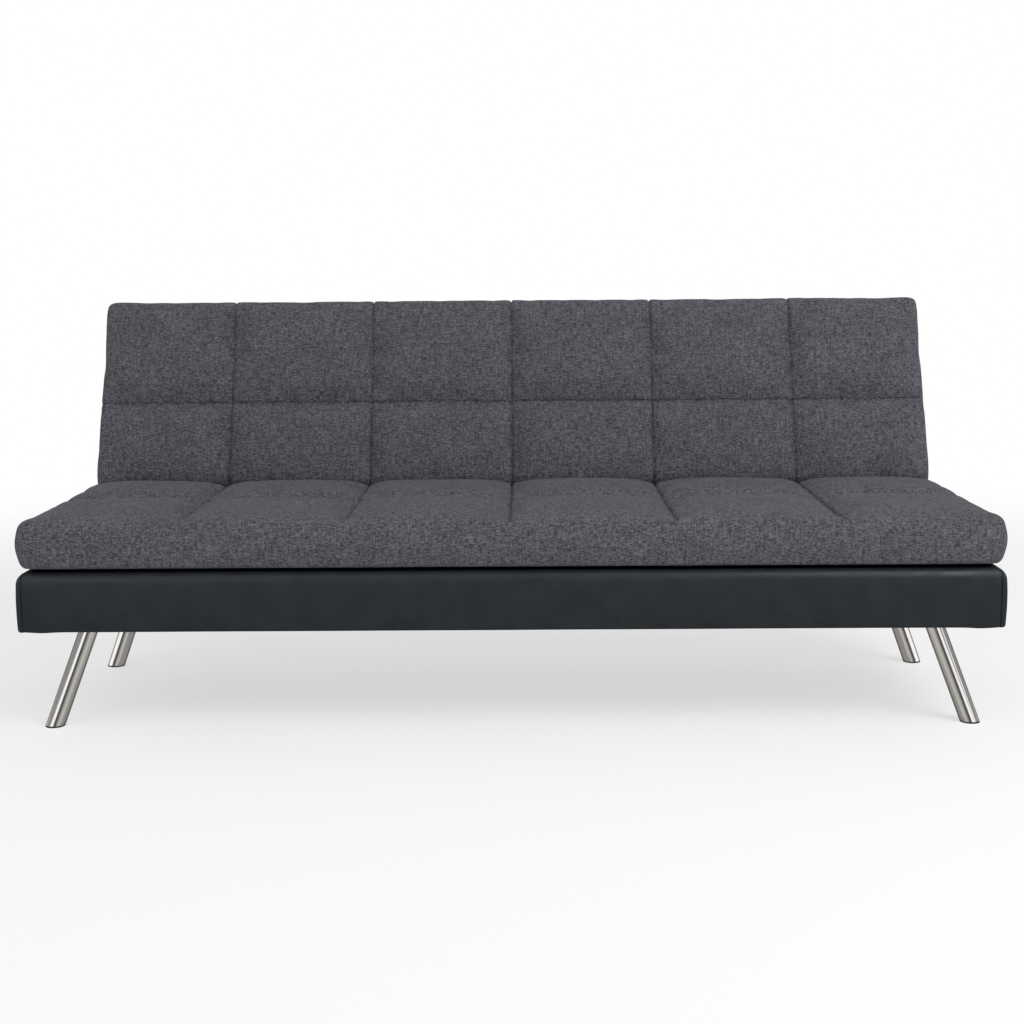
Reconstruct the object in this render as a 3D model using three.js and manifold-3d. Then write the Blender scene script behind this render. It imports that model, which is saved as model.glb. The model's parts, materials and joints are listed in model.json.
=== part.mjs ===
// Click clack sofa bed: two channelled pads on hinged frames,
// over a wrapped base box with splayed chrome legs.
// Millimetres, +Z up, front towards -Y. The origin is on the floor, under the middle of the sofa.
// Left is -X and right is +X, as somebody sees them who faces the sofa.
import * as THREE from 'three';
import { mergeVertices } from 'three/addons/utils/BufferGeometryUtils.js';
import Module from 'manifold-3d';

const wasm = await Module();
wasm.setup();

// Overall sizes
const padWidth = 1800;
const seatDepth = 537;
const backLength = 437;
const padThickness = 85;
const padGap = 12;
const legHeight = 193;
const baseHeight = 105;
const baseSideSetback = 4;
const backLean = THREE.MathUtils.degToRad(22);

// Fits
const clearance = 0.3;
const overrun = 10;

// Pads
const pivotBelowTop = 52;
const channelCount = 6;
const channelPitch = 304;
const rowSeamShares = [0.445];
const seamDepth = 13;
const edgeFallShare = 0.6;
const padCornerRadius = 18;
const padCornerZone = 62;
const padSideRadius = 20;
const padPivotRadius = 33;
const seatFrontRadius = 20;
const backTopRadius = 26;
const padBottomRadius = 18;
const padSideDrawDepth = 3;
const padSideBulge = 4;
const padCrease = 1;
const foamThickness = 52;
const channelStopShares = [0.14, 0.5, 0.86];
const rowStopShares = [0.16, 0.5, 0.84];

// Timber of the seat and back frames
const frameRailWidth = 25;
const frameEndSetback = 32;
const frameFarSetback = 43;
const crossRailPlaces = [-420, 0, 420];
const deckThickness = 4;
const clothThickness = 1;

// Base box
const baseFrontSetback = 5;
const baseRearSetback = 22;
const baseRailThickness = 20;
const coverThickness = 1.6;
const coverLip = 20;
const baseTopRadius = 16;
const baseBottomRadius = 6;
const baseCornerRadius = 5;
const legRailWidth = 44;

// Legs
const legDiameter = 34;
const legWall = 2;
const legInset = 115;
const legSideSplay = THREE.MathUtils.degToRad(20.5);
const legEndSplay = THREE.MathUtils.degToRad(4);
const legPlateWidth = 90;
const legPlateThickness = 4;
const legPlateCorner = 8;
const glideSole = 2;
const glideDepth = 14;

// Click clack mechanism
const armThickness = 5;
const armHeight = 26;
const armReach = 240;
const armDrop = 24;
const eyeRadius = 14;
const boltRadius = 5;
const boltHeadRadius = 9;
const boltHeadThickness = 5;
const sectorRadius = 20;
const notchDepth = 5;
const notchShares = [0, 0.5, 1];
const notchMouth = THREE.MathUtils.degToRad(12.5);
const notchRoot = THREE.MathUtils.degToRad(10);
const sectorMargin = THREE.MathUtils.degToRad(14);
const pawlReach = 48;
const pawlGap = 1.5;
const pawlEyeRadius = 8;
const pawlPinRadius = 4;
const pawlLever = 7;
const pawlTip = 3;
const pawlPoint = 1.5;
const pawlSpringRadius = 2.2;
const spacerStart = 110;
const bracketDrop = 130;
const bracketLength = 180;
const bracketNeckLength = 50;
const bracketShoulderDepth = 52;
const roundSides = 24;

// Places that follow from the sizes above
const halfWidth = padWidth / 2;
const baseHalf = halfWidth - baseSideSetback;
const legPlace = baseHalf - legInset;
const baseTop = legHeight + baseHeight;
const seatHeight = baseTop + padGap + padThickness;
const pivotHeight = seatHeight - pivotBelowTop;
const edgeFall = seamDepth * edgeFallShare;
const padEdgeTop = pivotBelowTop - edgeFall;
const padBottom = pivotBelowTop - padThickness;
const meetAngle = (Math.PI / 2 + backLean) / 2;
const pivotCentre = padEdgeTop - padPivotRadius;
const padStart = (padPivotRadius + padCrease / 2 + pivotCentre * Math.cos(meetAngle)) / Math.sin(meetAngle)
  - padPivotRadius;
const pivotDepth = seatDepth + padStart;
const clothBottom = baseTop + clearance - pivotHeight;
const frameBottom = clothBottom + clothThickness + clearance;
const cavityTop = pivotBelowTop - foamThickness;
const deckTop = cavityTop - clearance;
const frameTop = deckTop - deckThickness - clearance;
const frameStart = padStart + frameEndSetback;

// The pawls sit straight below the pivot, and each notch comes there at its share of the back's travel
const backTravel = Math.PI / 2 - backLean;
const notchAngles = notchShares.map((share) => Math.PI * 3 / 2 - backTravel * (1 - share));
const sectorStart = notchAngles[0] - sectorMargin;
const sectorEnd = notchAngles.at(-1) + sectorMargin;

// Upright planes of the mechanism, counted inwards from the base's side rail
const sideRailInner = baseHalf - coverThickness - clearance - baseRailThickness;
const bracketOuter = sideRailInner - clearance;
const seatArmOuter = bracketOuter - armThickness - clearance;
const backArmOuter = seatArmOuter - armThickness - clearance;
const frameHalf = backArmOuter - armThickness - clearance;
const cavityHalf = sideRailInner + clearance;

// Finishes
const finishes = {
  weave: { color: 0x55545a, roughness: 0.95, metalness: 0 },
  leatherette: { color: 0x2b2d31, roughness: 0.45, metalness: 0 },
  cloth: { color: 0x1b1b1e, roughness: 0.95, metalness: 0 },
  pine: { color: 0xc9a877, roughness: 0.7, metalness: 0 },
  board: { color: 0x9b7a54, roughness: 0.8, metalness: 0 },
  steel: { color: 0x24252a, roughness: 0.5, metalness: 0.8 },
  zinc: { color: 0xb4b8bd, roughness: 0.35, metalness: 1 },
  chrome: { color: 0xd9dcdf, roughness: 0.08, metalness: 1 },
  plastic: { color: 0x17181a, roughness: 0.55, metalness: 0 },
};

function piece(name, finish, geometry) {
  const mesh = new THREE.Mesh(geometry, new THREE.MeshStandardMaterial(finishes[finish]));
  mesh.name = name;
  return mesh;
}

// A box between two corners
function block([x0, x1], [y0, y1], [z0, z1]) {
  const geometry = new THREE.BoxGeometry(x1 - x0, y1 - y0, z1 - z0);
  return geometry.translate((x0 + x1) / 2, (y0 + y1) / 2, (z0 + z1) / 2);
}

// A range that starts at a place and runs for a length
const run = (start, length) => [start, start + length];

// The range from inner to outer on one side of the middle
const onSide = (side, inner, outer) => side > 0 ? [inner, outer] : [-outer, -inner];

function toSolid(geometry) {
  const bare = geometry.clone();
  bare.deleteAttribute('normal');
  bare.deleteAttribute('uv');
  const merged = mergeVertices(bare);
  return new wasm.Manifold(new wasm.Mesh({
    numProp: 3,
    vertProperties: new Float32Array(merged.attributes.position.array),
    triVerts: new Uint32Array(merged.index.array),
  }));
}

function toGeometry(solid) {
  const mesh = solid.getMesh();
  const geometry = new THREE.BufferGeometry();
  geometry.setAttribute('position', new THREE.BufferAttribute(new Float32Array(mesh.vertProperties), 3));
  geometry.setIndex(new THREE.BufferAttribute(new Uint32Array(mesh.triVerts), 1));
  geometry.computeVertexNormals();
  return geometry;
}

// Takes away each of several cutters from one geometry
function cut(geometry, ...cutters) {
  return toGeometry(cutters.reduce((solid, cutter) => solid.subtract(toSolid(cutter)), toSolid(geometry)));
}

const common = (a, b) => toGeometry(toSolid(a).intersect(toSolid(b)));

// A plate whose outline is drawn in the upright plane (depth, height), between two places across the width
function uprightPlate(shape, [x0, x1]) {
  const geometry = new THREE.ExtrudeGeometry(shape, { depth: x1 - x0, bevelEnabled: false });
  const turn = new THREE.Matrix4().makeBasis(
    new THREE.Vector3(0, 1, 0), new THREE.Vector3(0, 0, 1), new THREE.Vector3(1, 0, 0));
  return geometry.applyMatrix4(turn).translate(x0, 0, 0);
}

function flatPlate(shape, [z0, z1]) {
  return new THREE.ExtrudeGeometry(shape, { depth: z1 - z0, bevelEnabled: false }).translate(0, 0, z0);
}

// The points of an arc counter to the clock, both ends included, at the same spacing on every arc
function arc(x, y, radius, from, to) {
  const steps = Math.max(1, Math.round((to - from) / (2 * Math.PI) * roundSides));
  return Array.from({ length: steps + 1 }, (_, i) => {
    const angle = from + (to - from) * i / steps;
    return [x + radius * Math.cos(angle), y + radius * Math.sin(angle)];
  });
}

const polar = (radius, angle) => [radius * Math.cos(angle), radius * Math.sin(angle)];
const circle = (x, y, radius) => arc(x, y, radius, 0, 2 * Math.PI).slice(1);

// A shape from the points of its outline and of its holes
function outline(points, ...holes) {
  const shape = new THREE.Shape(points.map(([x, y]) => new THREE.Vector2(x, y)));
  holes.forEach((hole) => shape.holes.push(new THREE.Path(hole.map(([x, y]) => new THREE.Vector2(x, y)))));
  return shape;
}

function acrossCylinder(radius, [x0, x1], y, z) {
  return new THREE.CylinderGeometry(radius, radius, x1 - x0, roundSides)
    .rotateZ(Math.PI / 2)
    .translate((x0 + x1) / 2, y, z);
}

// Skins equal closed rings of points, lowest first, and caps the first and last
function loft(rings) {
  const count = rings[0].length;
  const indices = [];
  for (let k = 0; k + 1 < rings.length; k += 1) {
    for (let i = 0; i < count; i += 1) {
      const a = k * count + i;
      const b = k * count + (i + 1) % count;
      indices.push(a, b, b + count, a, b + count, a + count);
    }
  }
  const last = (rings.length - 1) * count;
  flatCap(rings[0]).forEach(([a, b, c]) => indices.push(c, b, a));
  flatCap(rings[rings.length - 1]).forEach(([a, b, c]) => indices.push(last + a, last + b, last + c));
  return pointsToGeometry(rings.flat(), indices);
}

function flatCap(ring) {
  return THREE.ShapeUtils.triangulateShape(ring.map(([x, y]) => new THREE.Vector2(x, y)), []);
}

function pointsToGeometry(points, indices) {
  const geometry = new THREE.BufferGeometry();
  geometry.setAttribute('position', new THREE.BufferAttribute(new Float32Array(points.flat()), 3));
  geometry.setIndex(indices);
  geometry.computeVertexNormals();
  return geometry;
}

// Padded forms. A pad's own axes are x across, s outwards from its pivot and t up to the sitter.
// A grid of stops makes the crowned top, and rings of the grid's border points make the rounded sides.

function stopsAcross() {
  const seams = Array.from({ length: channelCount - 1 }, (_, i) => (i + 1 - channelCount / 2) * channelPitch);
  return stopsBetween(-halfWidth + padCornerZone, halfWidth - padCornerZone, seams, channelStopShares);
}

function stopsAlong(length) {
  const seams = rowSeamShares.map((share) => padStart + length * share);
  return stopsBetween(padStart + padCornerZone, padStart + length - padCornerZone, seams, rowStopShares);
}

// The inner stops between two corner zones: every seam, with a few places between it and the next
function stopsBetween(first, last, seams, shares) {
  const knots = [first, ...seams, last];
  const stops = [first];
  for (let i = 0; i + 1 < knots.length; i += 1) {
    shares.forEach((share) => stops.push(THREE.MathUtils.lerp(knots[i], knots[i + 1], share)));
    stops.push(knots[i + 1]);
  }
  return { stops, seams };
}

// How full the pad is at a place: 0 on a seam, 1 in the middle of a channel, and partly fallen at its edges
function fullness(place, start, end, seams) {
  const knots = [start, ...seams, end];
  const i = Math.min(knots.filter((knot) => knot <= place).length, knots.length - 1) - 1;
  const share = THREE.MathUtils.clamp((place - knots[i]) / (knots[i + 1] - knots[i]), 0, 1);
  const lowStart = i === 0 ? 1 - edgeFallShare : 0;
  const lowEnd = i === knots.length - 2 ? 1 - edgeFallShare : 0;
  const arch = Math.sqrt(4 * share * (1 - share));
  return arch + (1 - arch) * THREE.MathUtils.lerp(lowStart, lowEnd, share);
}

function paddedForm(length, farRadius) {
  const across = stopsAcross();
  const along = stopsAlong(length);
  const start = padStart;
  const end = padStart + length;
  const columns = across.stops.length + 4;
  const rows = along.stops.length + 4;
  const top = (x, s) => pivotBelowTop - seamDepth
    * (1 - fullness(x, -halfWidth, halfWidth, across.seams) * fullness(s, start, end, along.seams));

  // A place of the grid, with its border drawn in by an inset at the sides and one at the ends
  const place = (i, j, sideInset, endInset) => {
    const side = i === 0 ? -1 : i === columns - 1 ? 1 : 0;
    const tip = j === 0 ? -1 : j === rows - 1 ? 1 : 0;
    const corner = side && tip ? padCornerRadius * (1 - Math.SQRT1_2) : 0;
    const sideEdge = halfWidth - sideInset;
    const middle = (start + end) / 2;
    const tipEdge = (end - start) / 2 - endInset;
    let x = across.stops[i - 2];
    let s = along.stops[j - 2];
    if (i < 2 || i > columns - 3) {
      x = Math.sign(i - columns / 2) * (sideEdge - (side ? corner : padCornerRadius));
    }
    if (j < 2 || j > rows - 3) {
      s = middle + Math.sign(j - rows / 2) * (tipEdge - (tip ? corner : padCornerRadius));
    }
    return [x, s];
  };

  const endRadius = (j) => j * 2 < rows ? padPivotRadius : farRadius;
  const points = [];
  const indices = [];
  for (let j = 0; j < rows; j += 1) {
    for (let i = 0; i < columns; i += 1) {
      const [x, s] = place(i, j, padSideRadius, endRadius(j));
      points.push([x, s, top(x, s)]);
    }
  }
  for (let j = 0; j + 1 < rows; j += 1) {
    for (let i = 0; i + 1 < columns; i += 1) {
      const a = j * columns + i;
      indices.push(a, a + 1, a + columns + 1, a, a + columns + 1, a + columns);
    }
  }

  // The border runs around the grid once, counter to the clock as seen from above
  const border = [];
  for (let i = 0; i < columns - 1; i += 1) border.push([i, 0]);
  for (let j = 0; j < rows - 1; j += 1) border.push([columns - 1, j]);
  for (let i = columns - 1; i > 0; i -= 1) border.push([i, rows - 1]);
  for (let j = rows - 1; j > 0; j -= 1) border.push([0, j]);

  const fullArch = (share) => 4 * share * (1 - share);
  const ringPoint = ([i, j], inset, height) => {
    const [x0, s0] = place(i, j, padSideRadius, endRadius(j));
    const edge = top(x0, s0);
    const onEnd = j === 0 || j === rows - 1;
    const onFlank = i === 0 || i === columns - 1;
    const endSize = endRadius(j);
    const radius = onEnd && onFlank ? (endSize + padSideRadius) / 2 : onEnd ? endSize : padSideRadius;
    const draw = padSideDrawDepth * (onEnd && onFlank ? 0
      : onEnd ? fullArch((x0 + halfWidth) / padWidth) : fullArch((s0 - start) / length));
    const [x, s] = place(i, j, inset(padSideRadius) + draw, inset(endSize) + draw);
    return [x, s, height(radius, edge)];
  };

  const quarter = Math.PI / 2;
  const levels = [
    ...[1, 0.5, 0].map((share) => ({
      inset: () => padSideBulge + padBottomRadius * (1 - Math.cos(share * quarter)),
      height: () => padBottom + padBottomRadius * (1 - Math.sin(share * quarter)),
    })),
    { inset: () => 0, height: (radius, edge) => (padBottom + padBottomRadius + edge - radius) / 2 },
    ...[0, 1 / 3, 2 / 3].map((share) => ({
      inset: (radius) => padSideBulge + (radius - padSideBulge) * (1 - Math.cos(share * quarter)),
      height: (radius, edge) => edge - radius * (1 - Math.sin(share * quarter)),
    })),
  ];
  const borderIndex = border.map(([i, j]) => j * columns + i);
  const ringStarts = levels.map(({ inset, height }) => {
    const first = points.length;
    border.forEach((knot) => points.push(ringPoint(knot, inset, height)));
    return first;
  });
  const ringIndex = [...ringStarts.map((first) => border.map((_, n) => first + n)), borderIndex];
  for (let k = 0; k + 1 < ringIndex.length; k += 1) {
    border.forEach((_, n) => {
      const next = (n + 1) % border.length;
      const [a, b] = [ringIndex[k][n], ringIndex[k][next]];
      const [c, d] = [ringIndex[k + 1][next], ringIndex[k + 1][n]];
      indices.push(a, b, c, a, c, d);
    });
  }
  const underside = ringIndex[0];
  flatCap(underside.map((n) => points[n])).forEach(([a, b, c]) => {
    indices.push(underside[c], underside[b], underside[a]);
  });
  return pointsToGeometry(points, indices);
}

// The pad is hollowed from below for its frame, and slit at the pivot end where the steel arms come out
function cushion(name, length, farRadius) {
  const hollow = block(
    [-cavityHalf, cavityHalf],
    [frameStart - clearance, padStart + length - frameFarSetback + clearance],
    [padBottom - overrun, cavityTop]);
  const slits = [-1, 1].map((side) => block(
    onSide(side, frameHalf - clearance, cavityHalf),
    [padStart - overrun, frameStart + clearance],
    [padBottom - overrun, eyeRadius + pawlPoint]));
  return piece(name, 'weave', cut(paddedForm(length, farRadius), hollow, ...slits));
}

// The timber frame, deck and cloth that one pad is built on.
// ends names the rails nearest the pivot and far from it.
function frame(prefix, length, ends, mirror) {
  const frameEnd = padStart + length - frameFarSetback;
  const rail = [frameBottom, frameTop];
  const inner = frameHalf - frameRailWidth;
  const between = [-inner + clearance, inner - clearance];
  const pieces = [
    piece(`${prefix}_${ends[0]}_rail`, 'pine', block(between, run(frameStart, frameRailWidth), rail)),
    piece(`${prefix}_${ends[1]}_rail`, 'pine',
      block(between, run(frameEnd - frameRailWidth, frameRailWidth), rail)),
  ];
  [-1, 1].forEach((side) => {
    const name = side * mirror < 0 ? 'left' : 'right';
    pieces.push(piece(`${prefix}_${name}_rail`, 'pine',
      block(onSide(side, inner, frameHalf), [frameStart, frameEnd], rail)));
  });
  const crossSpan = [frameStart + frameRailWidth + clearance, frameEnd - frameRailWidth - clearance];
  crossRailPlaces.forEach((place, i) => {
    pieces.push(piece(`${prefix}_cross_rail_${i + 1}`, 'pine',
      block(run(place * mirror - frameRailWidth / 2, frameRailWidth), crossSpan, rail)));
  });
  const whole = [-frameHalf, frameHalf];
  pieces.push(piece(`${prefix}_deck`, 'board',
    block(whole, [frameStart, frameEnd], run(deckTop - deckThickness, deckThickness))));
  pieces.push(piece(`${prefix}_dust_cloth`, 'cloth',
    block(whole, [frameStart, frameEnd], run(clothBottom, clothThickness))));
  return pieces;
}

// The angle where an eye runs out into its strap
const eyeEnd = Math.PI * 7 / 4;
const boltHole = circle(0, 0, boltRadius + clearance);

// A steel arm: a rim around the pivot, and a strap that runs outwards below it
function arm(name, side, outer, rim, ...holes) {
  const strapTop = -armDrop + armHeight / 2;
  const strapFoot = -armDrop - armHeight / 2;
  const strapRoot = armHeight + armDrop;
  const points = [
    [armReach, strapTop], [strapRoot, strapTop], ...rim, [strapRoot, strapFoot], [armReach, strapFoot]];
  const shape = outline(points, boltHole, ...holes);
  return piece(name, 'steel', uprightPlate(shape, onSide(side, outer - armThickness, outer)));
}

const plainRim = arc(0, 0, eyeRadius, Math.PI / 2, eyeEnd);

// The back arm's rim has the notches that the pawl clicks into: sitting, lounging and flat
const notchedRim = [
  ...arc(0, 0, eyeRadius, Math.PI / 2, sectorStart),
  ...notchAngles.flatMap((angle, i) => [
    ...arc(0, 0, sectorRadius, i ? notchAngles[i - 1] + notchMouth : sectorStart, angle - notchMouth),
    polar(sectorRadius - notchDepth, angle - notchRoot),
    polar(sectorRadius - notchDepth, angle + notchRoot),
  ]),
  ...arc(0, 0, sectorRadius, notchAngles.at(-1) + notchMouth, sectorEnd),
  ...arc(0, 0, eyeRadius, sectorEnd, eyeEnd),
];

// The pawl's pin stands out from the pivot and below it, so that its tip moves towards the pivot
const pawlPinDrop = sectorRadius + pawlGap + pawlLever - pawlPoint;
const pawlHole = circle(pawlReach, -pawlPinDrop, pawlPinRadius + clearance);

function pawlShape() {
  const tipTop = -(sectorRadius + pawlGap);
  const leverTop = tipTop - pawlLever / 2;
  const tipRoot = pawlTip * 3;
  return outline([
    [tipRoot, leverTop], [pawlTip, leverTop], [pawlPoint, tipTop], [-pawlPoint, tipTop],
    [-pawlTip, leverTop], [-pawlTip, leverTop - pawlLever],
    ...arc(pawlReach, -pawlPinDrop, pawlEyeRadius, -Math.PI / 2, Math.PI / 2),
  ], pawlHole);
}

// The seat turns its own axes half round, so that s runs forwards: its own left is the sofa's right
function makeSeat() {
  const seat = new THREE.Group();
  seat.add(cushion('seat_cushion', seatDepth, seatFrontRadius));
  seat.add(...frame('seat', seatDepth, ['rear', 'front'], -1));
  [-1, 1].forEach((side) => {
    const name = side > 0 ? 'left' : 'right';
    const pawlPlane = onSide(side, backArmOuter - armThickness, backArmOuter);
    const pinPlane = onSide(side, frameHalf + clearance, seatArmOuter);
    const springRun = [pawlReach + pawlEyeRadius + clearance, spacerStart - clearance];
    const springLength = springRun[1] - springRun[0];
    seat.add(arm(`seat_arm_${name}`, side, seatArmOuter, plainRim, pawlHole));
    seat.add(piece(`seat_arm_spacer_${name}`, 'steel', block(
      pawlPlane, [spacerStart, armReach], run(-armDrop - armHeight / 2, armHeight))));
    seat.add(piece(`pawl_${name}`, 'zinc', uprightPlate(pawlShape(), pawlPlane)));
    seat.add(piece(`pawl_pin_${name}`, 'zinc',
      acrossCylinder(pawlPinRadius, pinPlane, pawlReach, -pawlPinDrop)));
    seat.add(piece(`pawl_spring_${name}`, 'zinc',
      new THREE.CylinderGeometry(pawlSpringRadius, pawlSpringRadius, springLength, roundSides / 2)
        .translate((pawlPlane[0] + pawlPlane[1]) / 2, (springRun[0] + springRun[1]) / 2, -pawlPinDrop)));
  });
  seat.rotation.z = Math.PI;
  seat.position.set(0, pivotDepth, pivotHeight);
  return seat;
}

function makeBack() {
  const back = new THREE.Group();
  back.add(cushion('back_cushion', backLength, backTopRadius));
  back.add(...frame('back', backLength, ['bottom', 'top'], 1));
  [-1, 1].forEach((side) => {
    back.add(arm(`back_arm_${side < 0 ? 'left' : 'right'}`, side, backArmOuter, notchedRim));
  });
  back.rotation.x = backTravel;
  back.position.set(0, pivotDepth, pivotHeight);
  return back;
}

// The base box. Its depth is counted from the front of the seat pad, as the pivot's is.
const baseFront = baseFrontSetback;
const baseRear = pivotDepth - baseRearSetback;

// The rounded box that lies a given depth under the outer face of the wrap
function baseForm(depth) {
  const top = Math.max(baseTopRadius - depth, clearance);
  const foot = Math.max(baseBottomRadius - depth, clearance);
  const corner = Math.max(baseCornerRadius - depth, clearance);
  const half = baseHalf - depth;
  const [front, rear] = [baseFront + depth, baseRear - depth];
  const [bottom, height] = [legHeight + depth, baseTop - depth];
  const ring = (inset, z) => {
    const loop = [];
    [[1, 1], [-1, 1], [-1, -1], [1, -1]].forEach(([sx, sy], quarter) => {
      for (const turn of [0, 0.5, 1]) {
        const angle = (quarter + turn) * Math.PI / 2;
        loop.push([
          sx * (half - inset - corner) + corner * Math.cos(angle),
          (sy > 0 ? rear - inset - corner : front + inset + corner) + corner * Math.sin(angle),
          z,
        ]);
      }
    });
    return loop;
  };
  const rings = [];
  for (const turn of [1, 0.5, 0]) {
    const angle = turn * Math.PI / 2;
    rings.push(ring(foot * (1 - Math.cos(angle)), bottom + foot * (1 - Math.sin(angle))));
  }
  for (const turn of [0, 1 / 3, 2 / 3, 1]) {
    const angle = turn * Math.PI / 2;
    rings.push(ring(top * (1 - Math.cos(angle)), height - top * (1 - Math.sin(angle))));
  }
  return loft(rings);
}

// The wrap is one skin cut on the mitre into four strips, each with a lip over the rails and one under them
function makeBaseCovers() {
  const all = [legHeight - overrun, baseTop + overrun];
  const window = block(
    [-baseHalf + coverLip, baseHalf - coverLip], [baseFront + coverLip, baseRear - coverLip], all);
  const skin = cut(baseForm(0), baseForm(coverThickness), window);
  const gap = clearance / 2;
  const mitre = (points) => flatPlate(outline(points), all);
  const long = (outer, inner) => [
    [-baseHalf + gap - overrun, outer], [baseHalf - gap + overrun, outer],
    [baseHalf - gap - coverLip - overrun, inner], [-baseHalf + gap + coverLip + overrun, inner]];
  const short = (side) => [
    [side * (baseHalf + overrun), baseFront + gap - overrun],
    [side * (baseHalf + overrun), baseRear - gap + overrun],
    [side * (baseHalf - coverLip - overrun), baseRear - gap - coverLip - overrun],
    [side * (baseHalf - coverLip - overrun), baseFront + gap + coverLip + overrun]];
  const strips = {
    front: long(baseFront - overrun, baseFront + coverLip + overrun),
    rear: long(baseRear + overrun, baseRear - coverLip - overrun),
    left: short(-1),
    right: short(1),
  };
  return Object.entries(strips).map(([name, points]) =>
    piece(`base_cover_${name}`, 'leatherette', common(skin, mitre(points))));
}

const railDepth = coverThickness + clearance;
const railFloor = legHeight + railDepth;
const legPlateTop = railFloor - clearance;
const legPlateFront = baseFront + coverLip + clearance;
const legPlateRear = baseRear - coverLip - clearance;

// Each leg's side, end and place under the base. end is -1 at the front and 1 at the rear.
const legPlaces = [-1, 1].flatMap((end) => [-1, 1].map((side) => ({
  side,
  end,
  name: `${end < 0 ? 'front' : 'rear'}_${side < 0 ? 'left' : 'right'}`,
  x: side * legPlace,
  y: end < 0 ? legPlateFront + legPlateWidth / 2 : legPlateRear - legPlateWidth / 2,
})));

function makeBaseFrame() {
  const wood = baseForm(railDepth);
  const height = [legHeight, baseTop];
  const frontRail = sideRailInner - clearance;
  const rearRail = seatArmOuter;
  const inside = [baseFront + railDepth + baseRailThickness, baseRear - railDepth - baseRailThickness];
  const shaped = (name, x, y) => piece(name, 'pine', common(wood, block(x, y, height)));
  const pieces = [
    shaped('base_front_rail', [-frontRail, frontRail], [baseFront, inside[0]]),
    shaped('base_rear_rail', [-rearRail, rearRail], [inside[1], baseRear]),
  ];
  [-1, 1].forEach((side) => {
    const name = side < 0 ? 'left' : 'right';
    pieces.push(shaped(`base_${name}_rail`, onSide(side, sideRailInner, baseHalf), [baseFront, baseRear]));
    pieces.push(piece(`base_cross_rail_${name}`, 'pine', block(
      run(side * legPlace - legRailWidth / 2, legRailWidth),
      [inside[0] + clearance, inside[1] - clearance],
      [railFloor, baseTop])));
  });
  return pieces;
}

// Non-woven cloth closes the underside between the lips of the wrap, cut out around the leg plates
function makeBaseCloth() {
  const x = baseHalf - coverLip - clearance;
  const notchX = legPlace - legPlateWidth / 2 - clearance;
  const notchEnd = legPlace + legPlateWidth / 2 + clearance;
  const notchFront = legPlateFront + legPlateWidth + clearance;
  const notchRear = legPlateRear - legPlateWidth - clearance;
  const half = [
    [notchX, legPlateFront], [notchX, notchFront], [notchEnd, notchFront], [notchEnd, legPlateFront],
    [x, legPlateFront], [x, legPlateRear], [notchEnd, legPlateRear], [notchEnd, notchRear],
    [notchX, notchRear], [notchX, legPlateRear],
  ];
  const otherHalf = half.map(([px, py]) => [-px, py]).reverse();
  const shape = outline([...half, ...otherHalf]);
  return piece('base_dust_cloth', 'cloth', flatPlate(
    shape, run(railFloor - clearance - clothThickness, clothThickness)));
}

// A solid or hollow rod along a leg's axis, from above its plate to below the floor, before it is cut level
function legRod(place, outer, inner) {
  const top = new THREE.Vector3(place.x, place.y, legPlateTop - legPlateThickness);
  const fall = new THREE.Vector3(
    place.side * Math.tan(legSideSplay), place.end * Math.tan(legEndSplay), -1).normalize();
  const shape = inner ? outline(circle(0, 0, outer), circle(0, 0, inner)) : outline(circle(0, 0, outer));
  const length = legHeight + legDiameter * 2;
  const rod = new THREE.ExtrudeGeometry(shape, { depth: length, bevelEnabled: false });
  const turn = new THREE.Quaternion().setFromUnitVectors(new THREE.Vector3(0, 0, 1), fall);
  return rod.translate(0, 0, -legDiameter).applyQuaternion(turn).translate(top.x, top.y, top.z);
}

function makeLeg(place) {
  const plateFoot = legPlateTop - legPlateThickness;
  const reach = legHeight + legPlateWidth;
  const across = run(place.x - reach, reach * 2);
  const along = run(place.y - reach, reach * 2);
  const level = (low, high) => block(across, along, [low, high]);
  const radius = legDiameter / 2;
  const half = legPlateWidth / 2;
  const corner = legPlateCorner;
  const plate = outline([[1, 1], [-1, 1], [-1, -1], [1, -1]].flatMap(([sx, sy], quarter) => arc(
    place.x + sx * (half - corner), place.y + sy * (half - corner), corner,
    quarter * Math.PI / 2, (quarter + 1) * Math.PI / 2)));
  const sole = toSolid(common(legRod(place, radius), level(0, glideSole)));
  const plug = toSolid(common(legRod(place, radius - legWall - clearance), level(glideSole / 2, glideDepth)));
  return [
    piece(`leg_plate_${place.name}`, 'steel', flatPlate(plate, [plateFoot, legPlateTop])),
    piece(`leg_${place.name}`, 'chrome', common(
      legRod(place, radius, radius - legWall), level(glideSole + clearance, plateFoot - clearance))),
    piece(`leg_glide_${place.name}`, 'plastic', toGeometry(sole.add(plug))),
  ];
}

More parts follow.
